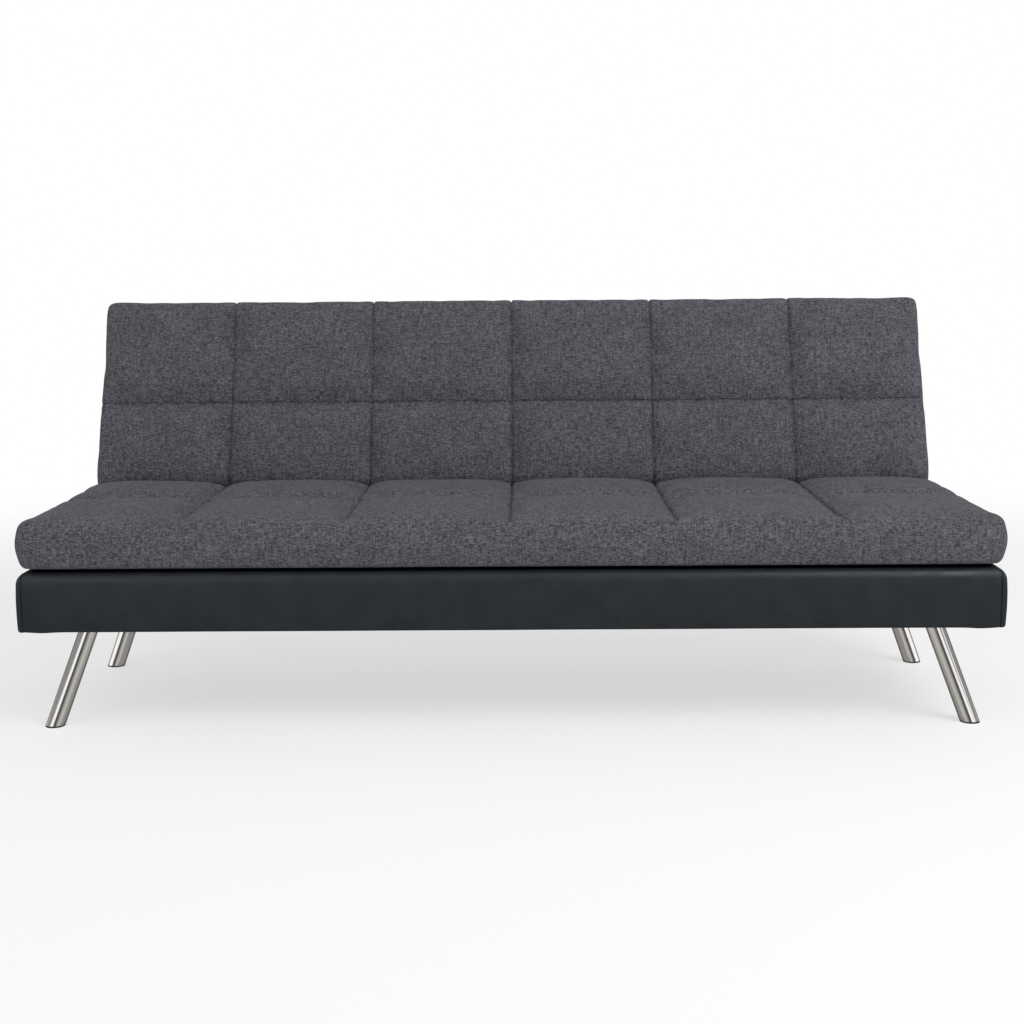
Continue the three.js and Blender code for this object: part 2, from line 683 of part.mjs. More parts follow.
// The bracket is bolted inside the base's side rail and rises out of the box to carry the pivot
function makeBracket(side) {
  const name = side < 0 ? 'left' : 'right';
  const lipReach = baseRearSetback + coverLip + clearance;
  const shape = outline([
    [-bracketLength, -bracketDrop], [-lipReach, -bracketDrop], [-lipReach, clothBottom],
    [-baseRearSetback, clothBottom],
    ...arc(0, 0, eyeRadius, -Math.PI / 4, Math.PI * 3 / 4),
    [-lipReach - bracketNeckLength, -bracketShoulderDepth], [-bracketLength, -bracketShoulderDepth],
  ], boltHole);
  const plate = uprightPlate(shape, onSide(side, bracketOuter - armThickness, bracketOuter));
  const headRange = run(bracketOuter + clearance, boltHeadThickness);
  const nutRange = run(frameHalf - boltHeadThickness, boltHeadThickness);
  const shank = toSolid(acrossCylinder(boltRadius, onSide(side, nutRange[0], headRange[1]), 0, 0));
  const head = toSolid(acrossCylinder(boltHeadRadius, onSide(side, ...headRange), 0, 0));
  const nut = toSolid(acrossCylinder(boltHeadRadius, onSide(side, ...nutRange), 0, 0));
  const pieces = [
    piece(`base_bracket_${name}`, 'steel', plate),
    piece(`pivot_bolt_${name}`, 'zinc', toGeometry(shank.add(head).add(nut))),
  ];
  pieces.forEach((mesh) => mesh.position.set(0, pivotDepth, pivotHeight));
  return pieces;
}

function makeBase() {
  const base = new THREE.Group();
  base.add(...makeBaseFrame(), ...makeBaseCovers(), makeBaseCloth());
  legPlaces.forEach((place) => base.add(...makeLeg(place)));
  [-1, 1].forEach((side) => base.add(...makeBracket(side)));
  return base;
}

const sofa = new THREE.Group();
sofa.add(makeBase(), makeSeat(), makeBack());

// The parts are placed from the front of the seat pad, and the whole is then centred over the origin
sofa.updateMatrixWorld(true);
const extent = new THREE.Box3().setFromObject(sofa, true);
sofa.position.y = -(extent.min.y + extent.max.y) / 2;
sofa.updateMatrixWorld(true);

export default sofa;
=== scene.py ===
# %% [markdown]
# # A click clack sofa bed
#
# This is a sofa whose back folds flat to make a bed. Two padded frames, a seat and a back, turn on the
# same pair of bolts over a wrapped base box that stands on four splayed chrome legs.
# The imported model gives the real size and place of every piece. This file makes what the eye sees of them:
# woven pads with sewn channels, leatherette, chrome tube, pine, powder-coated steel and black cloth.

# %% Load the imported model
import json
import math

import bmesh
import bpy
import numpy as np
from mathutils import Euler, Matrix, Vector
from mathutils.bvhtree import BVHTree
from mathutils.kdtree import KDTree


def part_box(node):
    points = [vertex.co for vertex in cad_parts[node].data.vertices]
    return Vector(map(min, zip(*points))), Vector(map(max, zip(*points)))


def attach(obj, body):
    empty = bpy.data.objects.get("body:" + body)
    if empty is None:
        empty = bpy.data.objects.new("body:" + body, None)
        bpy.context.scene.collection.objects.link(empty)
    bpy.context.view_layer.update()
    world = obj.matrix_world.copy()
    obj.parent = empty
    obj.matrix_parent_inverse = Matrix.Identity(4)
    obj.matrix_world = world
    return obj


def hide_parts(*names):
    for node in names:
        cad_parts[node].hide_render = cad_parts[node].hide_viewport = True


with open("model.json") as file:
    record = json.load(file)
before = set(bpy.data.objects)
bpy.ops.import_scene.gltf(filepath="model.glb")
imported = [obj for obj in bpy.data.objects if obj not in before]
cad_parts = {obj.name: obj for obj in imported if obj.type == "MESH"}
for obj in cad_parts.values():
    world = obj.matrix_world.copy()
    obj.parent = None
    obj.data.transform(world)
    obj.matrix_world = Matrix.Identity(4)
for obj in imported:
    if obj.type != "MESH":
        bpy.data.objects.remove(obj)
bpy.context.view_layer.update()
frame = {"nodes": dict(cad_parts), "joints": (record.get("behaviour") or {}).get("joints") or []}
nodes = frame["nodes"]

# %% [markdown]
# ## Units and sides
#
# Blender works in metres. Upholstery is measured in millimetres, so each length below is a number of
# millimetres times mm. Left and right are those of somebody who faces the sofa, and the front is towards -Y.

# %% Units and the pivot
mm = 0.001
sides = {"left": -1, "right": 1}
pivot = Vector(next(joint["pos_m"] for joint in frame["joints"] if joint["name"] == "back_recline"))
print("pivot at", [round(value / mm, 1) for value in pivot], "mm")

# %% [markdown]
# ## Camera
#
# The camera stands 3 m in front of the sofa, a little higher than its back, and looks down by 8 degrees.
# Its lens is worked out from the focal length in pixels, for an image 1024 pixels wide. The small shift
# takes the place of the crop that a photographer makes, so that the legs and the back both keep their angles.

# %% Camera
image_size = 1024
focal_pixels = 1491.7
axis_row = 471.5
sensor = 36.0
camera_place = Vector((31.2, -3005.0, 851.9)) * mm
camera_pitch, camera_yaw, camera_roll = (math.radians(angle) for angle in (8.0, -0.558, -0.447))

camera = bpy.data.objects.new("camera", bpy.data.cameras.new("camera"))
bpy.context.scene.collection.objects.link(camera)
bpy.context.scene.camera = camera
camera.data.sensor_width = sensor
camera.data.lens = focal_pixels / image_size * sensor
camera.data.shift_y = (axis_row - image_size / 2) / image_size
aim = Euler((math.pi / 2 - camera_pitch, 0, -camera_yaw)).to_matrix()
camera.matrix_world = Matrix.Translation(camera_place) @ (aim @ Matrix.Rotation(camera_roll, 3, "Z")).to_4x4()
print("lens", round(camera.data.lens, 2), "mm, shift", round(camera.data.shift_y, 3))

# %% [markdown]
# ## Colour and node helpers
#
# Colours are written as sRGB hex values, as a paint chart gives them. Shaders work in linear light,
# so one function turns them. Another function adds a shader node, sets it and links it, which keeps
# each material short enough to read.

# %% Colour and node helpers
def linear(hex_colour):
    """The linear RGBA of an sRGB hex colour such as #55545a."""
    values = [int(hex_colour[i:i + 2], 16) / 255 for i in (1, 3, 5)]
    return (*[v / 12.92 if v <= 0.04045 else ((v + 0.055) / 1.055) ** 2.4 for v in values], 1.0)


def fill_inputs(tree, node, inputs):
    """Sets a node's inputs. Each is given as a value, or as a socket to link from."""
    for name, value in inputs.items():
        if isinstance(value, bpy.types.NodeSocket):
            tree.links.new(value, node.inputs[name])
        else:
            node.inputs[name].default_value = value


def add_node(tree, kind, settings=None, inputs=None):
    """Adds a shader node. settings are its own properties, and inputs are values or sockets."""
    made = tree.nodes.new("ShaderNode" + kind)
    for name, value in (settings or {}).items():
        setattr(made, name, value)
    fill_inputs(tree, made, inputs or {})
    return made


def new_material(name):
    """A material with an empty node tree, its shader and its output."""
    material = bpy.data.materials.new(name)
    material.use_nodes = True
    tree = material.node_tree
    tree.nodes.clear()
    shader = add_node(tree, "BsdfPrincipled")
    add_node(tree, "OutputMaterial", inputs={"Surface": shader.outputs["BSDF"]})
    return material, tree, shader


# %% [markdown]
# ## Floor, backdrop and light
#
# A sofa of dark cloth needs plain, soft light from above, a little stronger from the right and the front.
# The floor is pale and keeps the shadow near the sofa. Further out it fades to the white of the backdrop.
# Chrome shows what stands around it, so a photographer puts black and white cards there. Mirror-like rays
# pass through the floor and see such cards in bands, one above the other, a dark wall behind the sofa and a
# narrow window at the front right. They draw the dark and the bright lines down each leg. Cloth is lit by an
# even grey-white.

# %% Floor
floor_size = 60.0
floor_fade = (1.5, 3.2)
floor_whiteness = 0.6
soft_edge = {"interpolation_type": "SMOOTHSTEP"}
floor_mesh = bpy.data.meshes.new("floor")
half_floor = floor_size / 2
floor_mesh.from_pydata([(-half_floor, -half_floor, 0), (half_floor, -half_floor, 0),
                        (half_floor, half_floor, 0), (-half_floor, half_floor, 0)], [], [(0, 1, 2, 3)])
floor = bpy.data.objects.new("floor", floor_mesh)
bpy.context.scene.collection.objects.link(floor)

floor_paint, tree, shader = new_material("floor_paint")
fill_inputs(tree, shader, {"Base Color": linear("#f2f2f2"), "Roughness": 0.9, "Specular IOR Level": 0.1})
place = add_node(tree, "NewGeometry").outputs["Position"]
distance = add_node(tree, "VectorMath", {"operation": "LENGTH"}, {0: place}).outputs["Value"]
fade = add_node(tree, "MapRange", soft_edge, {
    "Value": distance, "From Min": floor_fade[0], "From Max": floor_fade[1], "To Min": floor_whiteness})
rays = add_node(tree, "LightPath")
share = add_node(tree, "Math", {"operation": "MULTIPLY"}, {
    0: fade.outputs["Result"], 1: rays.outputs["Is Camera Ray"]})
glow = add_node(tree, "Emission", inputs={"Color": linear("#ffffff"), "Strength": 1.0})
surface = shader.outputs["BSDF"]
for amount, other in ((share.outputs["Value"], glow.outputs["Emission"]),
                      (rays.outputs["Is Glossy Ray"], add_node(tree, "BsdfTransparent").outputs["BSDF"])):
    surface = add_node(tree, "MixShader", inputs={0: amount, 1: surface, 2: other}).outputs["Shader"]
tree.links.new(surface, tree.nodes["Material Output"].inputs["Surface"])
floor_mesh.materials.append(floor_paint)
print("floor", floor_size, "m across")

# %% World
ambient_strength = 0.62
mirror_ground = "#8c8a87"
mirror_cards = (
    ("#bab8b5", "Z", -0.62, -0.54), ("#94928f", "Z", -0.46, -0.38), ("#4b4a49", "Z", -0.35, -0.28),
    ("#ffffff", "Z", -0.17, -0.12), ("#8b8987", "Z", -0.02, 0.01), ("#cecece", "Z", 0.15, 0.5),
    ("#65635f", "Y", 0.25, 0.6))
window_edges = (("X", 0.78, 0.81), ("X", 0.88, 0.91), ("Y", 0.0, -0.1), ("Z", -0.02, 0.02))
world = bpy.data.worlds.new("studio")
bpy.context.scene.world = world
world.use_nodes = True
tree = world.node_tree
tree.nodes.clear()
direction = add_node(tree, "TexCoord").outputs["Generated"]
parts = add_node(tree, "SeparateXYZ", inputs={0: direction})
edges = [add_node(tree, "MapRange", soft_edge, {
    "Value": parts.outputs[part], "From Min": low, "From Max": high}).outputs["Result"]
    for part, low, high in [card[1:] for card in mirror_cards] + list(window_edges)]
window, right_side, *others = edges[len(mirror_cards):]
for operation, edge in (("SUBTRACT", right_side), *(("MULTIPLY", other) for other in others)):
    window = add_node(tree, "Math", {"operation": operation, "use_clamp": True}, {
        0: window, 1: edge}).outputs["Value"]
rays = add_node(tree, "LightPath")
layers = [(edge, card[0]) for edge, card in zip(edges, mirror_cards)] + [(window, "#ffffff")]
mirrored = linear(mirror_ground)
for amount, colour in layers:
    mirrored = add_node(tree, "MixRGB", inputs={
        "Fac": amount, "Color1": mirrored, "Color2": linear(colour)}).outputs["Color"]
for_gloss = add_node(tree, "MixRGB", inputs={
    "Fac": rays.outputs["Is Glossy Ray"], "Color1": (ambient_strength,) * 3 + (1,), "Color2": mirrored})
for_camera = add_node(tree, "MixRGB", inputs={
    "Fac": rays.outputs["Is Camera Ray"], "Color1": for_gloss.outputs["Color"], "Color2": linear("#ffffff")})
background = add_node(tree, "Background", inputs={"Color": for_camera.outputs["Color"], "Strength": 1.0})
add_node(tree, "OutputWorld", inputs={"Surface": background.outputs["Background"]})
bpy.context.scene.view_settings.view_transform = "Standard"
print("ambient", ambient_strength, "and", len(mirror_cards), "cards")

# %% Lamps
lamps = {
    "key": {"place": (2.3, -2.2, 2.9), "size": 2.0, "power": 78.0},
    "fill": {"place": (-2.6, -2.6, 2.0), "size": 2.6, "power": 22.0},
}
for name, lamp in lamps.items():
    data = bpy.data.lights.new(name, "AREA")
    data.size = lamp["size"]
    data.energy = lamp["power"]
    light = bpy.data.objects.new(name, data)
    light.location = lamp["place"]
    light.rotation_euler = (Vector((0, 0, 0.4)) - light.location).to_track_quat("-Z", "Y").to_euler()
    bpy.context.scene.collection.objects.link(light)
print("lamps:", ", ".join(lamps))

# %% [markdown]
# ## Material: melange weave
#
# The pads are covered in a plain weave of polyester yarn spun from dark and light grey fibres.
# The eye sees a dark grey cloth with short pale and dark dashes, mostly along the weft, which runs
# from side to side. The dashes come from noise that is stretched along each yarn, and thicker slubs from
# the same noise at a larger size. A finer basket of crossing waves gives the bump of the threads. Real
# threads are 0.8 mm apart; they are drawn at 1.9 mm, because finer ones would not show at this size of
# image. Cloth reflects hardly any mirror-like light, but its loose fibres catch light at a slant, which is
# what the sheen is for.

# %% Melange weave
thread_pitch = 1.9 * mm
yarn_layers = [((8 * mm, 2.4 * mm), 0.4), ((2.4 * mm, 4.5 * mm), 0.24),
               ((2.8 * mm, 26 * mm), 0.2), ((22 * mm, 8 * mm), 0.16)]
wave_period = 0.314159  # a Wave node's scale for one wave a metre
cloud_size = 70 * mm


def dashes(tree, place, size, seed):
    """Noise stretched to a dash size, for yarns that run one way."""
    scaled = add_node(tree, "VectorMath", {"operation": "MULTIPLY"}, {
        0: place, 1: (1 / size[0], 1 / size[1], 1.0)}).outputs["Vector"]
    moved = add_node(tree, "VectorMath", {"operation": "ADD"}, {0: scaled, 1: (seed, seed * 0.7, 0)})
    return add_node(tree, "TexNoise", {"noise_dimensions": "2D"}, {
        "Vector": moved.outputs["Vector"], "Scale": 1.0, "Detail": 2.0, "Roughness": 0.6}).outputs["Fac"]


def weave_material():
    material, tree, shader = new_material("melange_weave")
    place = add_node(tree, "UVMap", {"uv_map": "cloth"}).outputs["UV"]
    yarns = 0.0
    for number, (size, weight) in enumerate(yarn_layers):
        yarns = add_node(tree, "Math", {"operation": "MULTIPLY_ADD"}, {
            0: dashes(tree, place, size, 3.1 + 2.6 * number), 1: weight, 2: yarns}).outputs["Value"]
    fibres = add_node(tree, "MapRange", {"clamp": True}, {
        "Value": yarns, "From Min": 0.42, "From Max": 0.62})
    colour = add_node(tree, "MixRGB", inputs={
        "Fac": fibres.outputs["Result"], "Color1": linear("#37363c"), "Color2": linear("#6a6970")})
    cloud = add_node(tree, "TexNoise", {"noise_dimensions": "2D"}, {
        "Vector": place, "Scale": 1 / cloud_size, "Detail": 3.0}).outputs["Fac"]
    cloud_gain = add_node(tree, "MapRange", inputs={
        "Value": cloud, "From Min": 0.3, "From Max": 0.7, "To Min": 0.93, "To Max": 1.07})
    toned = add_node(tree, "VectorMath", {"operation": "SCALE"}, {
        0: colour.outputs["Color"], "Scale": cloud_gain.outputs["Result"]})
    warp, weft = (add_node(tree, "TexWave", {"wave_type": "BANDS", "bands_direction": direction}, {
        "Vector": place, "Scale": wave_period / thread_pitch, "Distortion": 0.6, "Detail": 1.0})
        for direction in ("X", "Y"))
    basket = add_node(tree, "Math", {"operation": "MULTIPLY"}, {0: warp.outputs["Fac"], 1: weft.outputs["Fac"]})
    height = add_node(tree, "Math", {"operation": "MULTIPLY_ADD"}, {
        0: yarns, 1: 1.4, 2: basket.outputs["Value"]}).outputs["Value"]
    bump = add_node(tree, "Bump", inputs={"Strength": 0.35, "Distance": 0.5 * mm, "Height": height})
    fill_inputs(tree, shader, {
        "Base Color": toned.outputs["Vector"], "Normal": bump.outputs["Normal"], "Roughness": 0.92,
        "Specular IOR Level": 0.2, "Sheen Weight": 0.06, "Sheen Roughness": 0.5})
    return material


melange_weave = weave_material()
print("threads every", thread_pitch / mm, "mm")

# %% [markdown]
# ## Material: leatherette
#
# The base is wrapped in PU leatherette, a cloth with a skin of coloured polyurethane that is pressed
# with a leather grain. It gives a near-black with a blue cast and a soft, broad shine.
# The grain is a cell pattern 1.1 mm wide under a finer noise, and shade and shine change a little where
# the skin has been rubbed. Polyurethane has an IOR near 1.5, which is the shader's default, but its matt
# finish sends back less of the light straight, so the specular level is below the usual half.

# %% Leatherette
grain_size = 1.1 * mm
rub_size = 45 * mm


def leatherette_material():
    material, tree, shader = new_material("leatherette_skin")
    place = add_node(tree, "UVMap", {"uv_map": "cloth"}).outputs["UV"]
    cells = add_node(tree, "TexVoronoi", {"voronoi_dimensions": "2D", "feature": "SMOOTH_F1"}, {
        "Vector": place, "Scale": 1 / grain_size, "Smoothness": 0.4}).outputs["Distance"]
    creases = add_node(tree, "TexNoise", {"noise_dimensions": "2D"}, {
        "Vector": place, "Scale": 0.35 / grain_size, "Detail": 4.0}).outputs["Fac"]
    rub = add_node(tree, "TexNoise", {"noise_dimensions": "2D"}, {
        "Vector": place, "Scale": 1 / rub_size, "Detail": 3.0}).outputs["Fac"]
    worn = add_node(tree, "Math", {"operation": "MULTIPLY_ADD"}, {0: rub, 1: 0.7, 2: -0.35})
    tone = add_node(tree, "Math", {"operation": "ADD", "use_clamp": True}, {
        0: creases, 1: worn.outputs["Value"]})
    colour = add_node(tree, "MixRGB", inputs={
        "Fac": tone.outputs["Value"], "Color1": linear("#1a1f22"), "Color2": linear("#282d31")})
    shine = add_node(tree, "MapRange", inputs={
        "Value": rub, "From Min": 0.3, "From Max": 0.7, "To Min": 0.36, "To Max": 0.52})
    height = add_node(tree, "Math", {"operation": "MULTIPLY_ADD"}, {0: creases, 1: 0.8, 2: cells})
    bump = add_node(tree, "Bump", inputs={
        "Strength": 0.3, "Distance": 0.15 * mm, "Height": height.outputs["Value"]})
    fill_inputs(tree, shader, {
        "Base Color": colour.outputs["Color"], "Roughness": shine.outputs["Result"],
        "Normal": bump.outputs["Normal"], "Specular IOR Level": 0.3})
    return material


leatherette_skin = leatherette_material()
print("grain", grain_size / mm, "mm")

# %% [markdown]
# ## Material: chrome plate
#
# The legs are steel tube, polished and chrome plated. Chrome is a mirror, here with a faint warm cast.
# Polishing runs round the tube and leaves very fine rings, so the roughness changes a little along it.

# %% Chrome plate
polish_ring = 0.6 * mm
polish_length = 40 * mm


def chrome_material():
    material, tree, shader = new_material("chrome_plate")
    place = add_node(tree, "TexCoord").outputs["Object"]
    rings = add_node(tree, "VectorMath", {"operation": "MULTIPLY"}, {
        0: place, 1: (1 / polish_length, 1 / polish_length, 1 / polish_ring)}).outputs["Vector"]
    marks = add_node(tree, "TexNoise", inputs={"Vector": rings, "Scale": 1.0, "Detail": 2.0}).outputs["Fac"]
    shine = add_node(tree, "MapRange", inputs={
        "Value": marks, "From Min": 0.35, "From Max": 0.65, "To Min": 0.05, "To Max": 0.13})
    fill_inputs(tree, shader, {
        "Roughness": shine.outputs["Result"], "Base Color": linear("#f8f7f5"), "Metallic": 1.0})
    return material


chrome_plate = chrome_material()
print("polish rings every", polish_ring / mm, "mm")

# %% [markdown]
# ## Materials: pine, hardboard, black cloth, black steel, zinc and polypropylene
#
# The frames are planed pine, whose growth rings show as soft, darker lines along each rail. The base's
# rails are stained black, so that no pale wood shows in the gap under the seat. The decks are hardboard,
# pressed brown fibre. The undersides are closed with black non-woven cloth, which is bonded in small dots.
# The hinge plates are powder coated, which leaves a fine orange peel, and the bolts, pawls and springs are
# zinc plated, a pale grey with a dull, uneven shine.

# %% Timber and board
ring_gap = 4 * mm


def pine_material(name, stretch, early="#cfae7c", late="#b58a56"):
    """Pine with its early and late wood. The grain runs along the axis on which stretch is smallest."""
    material, tree, shader = new_material(name)
    place = add_node(tree, "TexCoord").outputs["Object"]
    grain = add_node(tree, "VectorMath", {"operation": "MULTIPLY"}, {0: place, 1: stretch}).outputs["Vector"]
    warp = add_node(tree, "TexNoise", inputs={"Vector": grain, "Scale": 14.0, "Detail": 3.0})
    rings = add_node(tree, "TexWave", {"wave_type": "RINGS", "rings_direction": "SPHERICAL"}, {
        "Vector": grain, "Scale": 0.3 / ring_gap, "Distortion": 5.0, "Detail": 2.0}).outputs["Fac"]
    fibre = add_node(tree, "TexNoise", inputs={"Vector": grain, "Scale": 900.0, "Detail": 2.0}).outputs["Fac"]
    tone = add_node(tree, "MixRGB", inputs={
        "Fac": rings, "Color1": linear(early), "Color2": linear(late)})
    flecked = add_node(tree, "MixRGB", {"blend_type": "MULTIPLY"}, {
        "Fac": 0.25, "Color1": tone.outputs["Color"], "Color2": warp.outputs["Color"]})
    bump = add_node(tree, "Bump", inputs={"Strength": 0.2, "Distance": 0.2 * mm, "Height": fibre})
    fill_inputs(tree, shader, {
        "Base Color": flecked.outputs["Color"], "Normal": bump.outputs["Normal"], "Roughness": 0.65})
    return material


grain_across, grain_along = (0.04, 1, 1), (1, 0.04, 0.04)
pine_across = pine_material("pine_across", grain_across)
pine_along = pine_material("pine_along", grain_along)
stained_across = pine_material("stained_pine_across", grain_across, "#25221f", "#181614")
stained_along = pine_material("stained_pine_along", grain_along, "#25221f", "#181614")


def speckled_material(name, dark, light, size, roughness, metallic=0.0, bump_depth=0.1 * mm):
    """A surface with a fine two-tone speckle, which its bump follows."""
    material, tree, shader = new_material(name)
    place = add_node(tree, "TexCoord").outputs["Object"]
    speckle = add_node(tree, "TexNoise", inputs={
        "Vector": place, "Scale": 1 / size, "Detail": 4.0, "Roughness": 0.6}).outputs["Fac"]
    tone = add_node(tree, "MapRange", inputs={"Value": speckle, "From Min": 0.35, "From Max": 0.65})
    colour = add_node(tree, "MixRGB", inputs={
        "Fac": tone.outputs["Result"], "Color1": linear(dark), "Color2": linear(light)})
    shine = add_node(tree, "MapRange", inputs={
        "Value": speckle, "To Min": roughness - 0.06, "To Max": roughness + 0.06})
    bump = add_node(tree, "Bump", inputs={"Strength": 0.3, "Distance": bump_depth, "Height": speckle})
    fill_inputs(tree, shader, {
        "Base Color": colour.outputs["Color"], "Roughness": shine.outputs["Result"],
        "Normal": bump.outputs["Normal"], "Metallic": metallic})
    return material


hardboard = speckled_material("hardboard", "#7c5c3a", "#9b7a54", 1.2 * mm, 0.8)
powder_coat = speckled_material("powder_coat", "#1b1c1f", "#26272b", 0.8 * mm, 0.5)
zinc_plate = speckled_material("zinc_plate", "#a3a7ab", "#c4c8cb", 3 * mm, 0.35, 1.0, 0.02 * mm)
polypropylene = speckled_material("polypropylene", "#141517", "#1d1e20", 0.6 * mm, 0.55)
print("growth rings every", ring_gap / mm, "mm")

# %% Black non-woven cloth
bond_gap = 1.6 * mm


def nonwoven_material():
    material, tree, shader = new_material("nonwoven_cloth")
    place = add_node(tree, "UVMap", {"uv_map": "cloth"}).outputs["UV"]
    bonds = add_node(tree, "TexVoronoi", {"voronoi_dimensions": "2D"}, {
        "Vector": place, "Scale": 1 / bond_gap, "Randomness": 0.25}).outputs["Distance"]
    fibres = add_node(tree, "TexNoise", {"noise_dimensions": "2D"}, {
        "Vector": place, "Scale": 1 / (5 * mm), "Detail": 6.0, "Roughness": 0.7}).outputs["Fac"]
    colour = add_node(tree, "MixRGB", inputs={
        "Fac": fibres, "Color1": linear("#1c1c1f"), "Color2": linear("#303035")})
    height = add_node(tree, "Math", {"operation": "MULTIPLY_ADD"}, {0: fibres, 1: 0.6, 2: bonds})
    bump = add_node(tree, "Bump", inputs={
        "Strength": 0.4, "Distance": 0.2 * mm, "Height": height.outputs["Value"]})
    fill_inputs(tree, shader, {
        "Base Color": colour.outputs["Color"], "Normal": bump.outputs["Normal"], "Roughness": 0.85,
        "Specular IOR Level": 0.25})
    return material


nonwoven_cloth = nonwoven_material()
print("materials:", len(bpy.data.materials))

# %% [markdown]
# ## Mesh helpers
#
# Each piece below is a list of points and faces. A cloth piece also knows, for every point, where that
# point lies on the flat cloth before it was sewn. That place becomes the UV map called cloth, in metres,
# so the weave keeps its real scale and turns the corners with the cloth.

# %% Mesh helpers
def make_object(name, points, faces, material, cloth_places=None):
    """An object with smooth faces and, where its flat places are given, a UV map named cloth."""
    mesh = bpy.data.meshes.new(name)
    mesh.from_pydata([tuple(point) for point in points], [], faces)
    mesh.materials.append(material)
    if cloth_places is not None:
        set_cloth_places(mesh, np.asarray(cloth_places))
    mesh.polygons.foreach_set("use_smooth", [True] * len(mesh.polygons))
    made = bpy.data.objects.new(name, mesh)
    bpy.context.scene.collection.objects.link(made)
    return made


def set_cloth_places(mesh, places):
    """Writes each point's flat place to the UV map cloth, and keeps it on the point too."""
    layer = mesh.uv_layers.get("cloth") or mesh.uv_layers.new(name="cloth")
    corners = np.empty(len(mesh.loops), dtype=np.int64)
    mesh.loops.foreach_get("vertex_index", corners)
    layer.data.foreach_set("uv", places[corners].astype(np.float32).ravel())
    kept = mesh.attributes.get("flat_place") or mesh.attributes.new("flat_place", "FLOAT2", "POINT")
    kept.data.foreach_set("vector", places.astype(np.float32).ravel())


def apply_modifiers(piece):
    """Turns an object's modifiers into its own mesh."""
    graph = bpy.context.evaluated_depsgraph_get()
    mesh = bpy.data.meshes.new_from_object(
        piece.evaluated_get(graph), preserve_all_data_layers=True, depsgraph=graph)
    old = piece.data
    piece.modifiers.clear()
    piece.data = mesh
    bpy.data.meshes.remove(old)
    return piece


def close_hole(piece):
    """Fills the one open edge loop of a mesh."""
    work = bmesh.new()
    work.from_mesh(piece.data)
    filled = bmesh.ops.edgeloop_fill(work, edges=[edge for edge in work.edges if edge.is_boundary])
    bmesh.ops.triangulate(work, faces=filled["faces"])
    work.to_mesh(piece.data)
    work.free()


def rows_of(items, part, width):
    """One property of many items, such as points or normals, as rows of numbers."""
    values = np.empty(len(items) * width)
    items.foreach_get(part, values)
    return values.reshape(-1, width)


def points_of(piece):
    """The points of an object's mesh, as rows of x, y and z."""
    return rows_of(piece.data.vertices, "co", 3)


def flat_places_of(mesh):
    """Where each point of a cloth mesh lies on its flat cloth."""
    return rows_of(mesh.attributes["flat_place"].data, "vector", 2)


def set_points(piece, points):
    piece.data.vertices.foreach_set("co", np.asarray(points, dtype=np.float32).ravel())
    piece.data.update()


def ring_body(rings):
    """One closed body through a list of rings of points, with a flat face at both ends."""
    count = len(rings[0])
    turn = np.arange(count)
    faces = [tuple(turn[::-1].tolist()), tuple((turn + (len(rings) - 1) * count).tolist())]
    for k in range(len(rings) - 1):
        low, high = turn + k * count, turn + (k + 1) * count
        faces += np.column_stack([low, np.roll(low, -1), np.roll(high, -1), high]).tolist()
    return np.concatenate(rings), faces


def sweep(path, radii, sides):
    """A round bar along a path, with a radius for each of its points."""
    path = np.asarray(path, dtype=float)
    ways = np.gradient(path, axis=0)
    ways /= np.linalg.norm(ways, axis=1)[:, None]
    side = np.cross(ways[0], (0, 0, 1) if abs(ways[0][2]) < 0.9 else (1, 0, 0))
    rings = []
    turn = np.linspace(0, 2 * math.pi, sides, endpoint=False)[:, None]
    for place, way, radius in zip(path, ways, np.broadcast_to(radii, len(path))):
        side = side - way * side.dot(way)
        side /= np.linalg.norm(side)
        rings.append(place + radius * (np.cos(turn) * side + np.sin(turn) * np.cross(way, side)))
    return ring_body(rings)


def join(bodies):
    """Several bodies, each with points and faces, as one."""
    points, faces, first = [], [], 0
    for body_points, body_faces in bodies:
        points.append(np.asarray(body_points))
        faces += [tuple(int(i) + first for i in face) for face in body_faces]
        first += len(body_points)
    return np.concatenate(points), faces


def copies(body, places):
    """Copies of a body. Each place is an origin and the directions of the body's own x, y and z."""
    points, faces = body
    return join([(np.asarray(place[0]) + points @ np.array(place[1:]), faces) for place in places])


def sharpen(mesh, degrees=32):
    """Keeps the edges between faces that turn more than this crisp, and shades the rest smooth."""
    mesh.polygons.foreach_set("use_smooth", [True] * len(mesh.polygons))
    mesh.set_sharp_from_angle(angle=math.radians(degrees))


noise_table = np.random.default_rng(7).uniform(-1, 1, (256, 256))


def ripple(places, size, seed):
    """Smooth noise from -1 to 1 at each flat place: one random height every size, with soft steps between."""
    scaled = np.asarray(places) / np.array(size) + seed * 17.3
    cell = np.floor(scaled).astype(int)
    share = scaled - cell
    share = share * share * (3 - 2 * share)
    (i, j), (k, m) = cell.T % 256, (cell.T + 1) % 256
    low = noise_table[i, j] * (1 - share[:, 0]) + noise_table[k, j] * share[:, 0]
    high = noise_table[i, m] * (1 - share[:, 0]) + noise_table[k, m] * share[:, 0]
    return low * (1 - share[:, 1]) + high * share[:, 1]


# %% [markdown]
# ## The pads
#
# Each pad is foam under one cover, which is sewn through the foam in six channels and one cross row.
# Between the seams the cover stands up in low pillows. Its sides bulge and pull in between the corners,
# and its edge turns under to the frame. The seat and the back are the same form with other sizes, so one
# function makes both. A pad has its own axes: x across, s outwards from the hinge, t up to the sitter.
#
# The form is a grid for the top and rings of points for the sides, all worked out from the sizes.
# A cloth simulation then blows it up a little, held at its seams and its lower edge, as foam does.
# Subdivision makes it smooth. Grooves, laps and puckers come last, because they are finer than the grid.

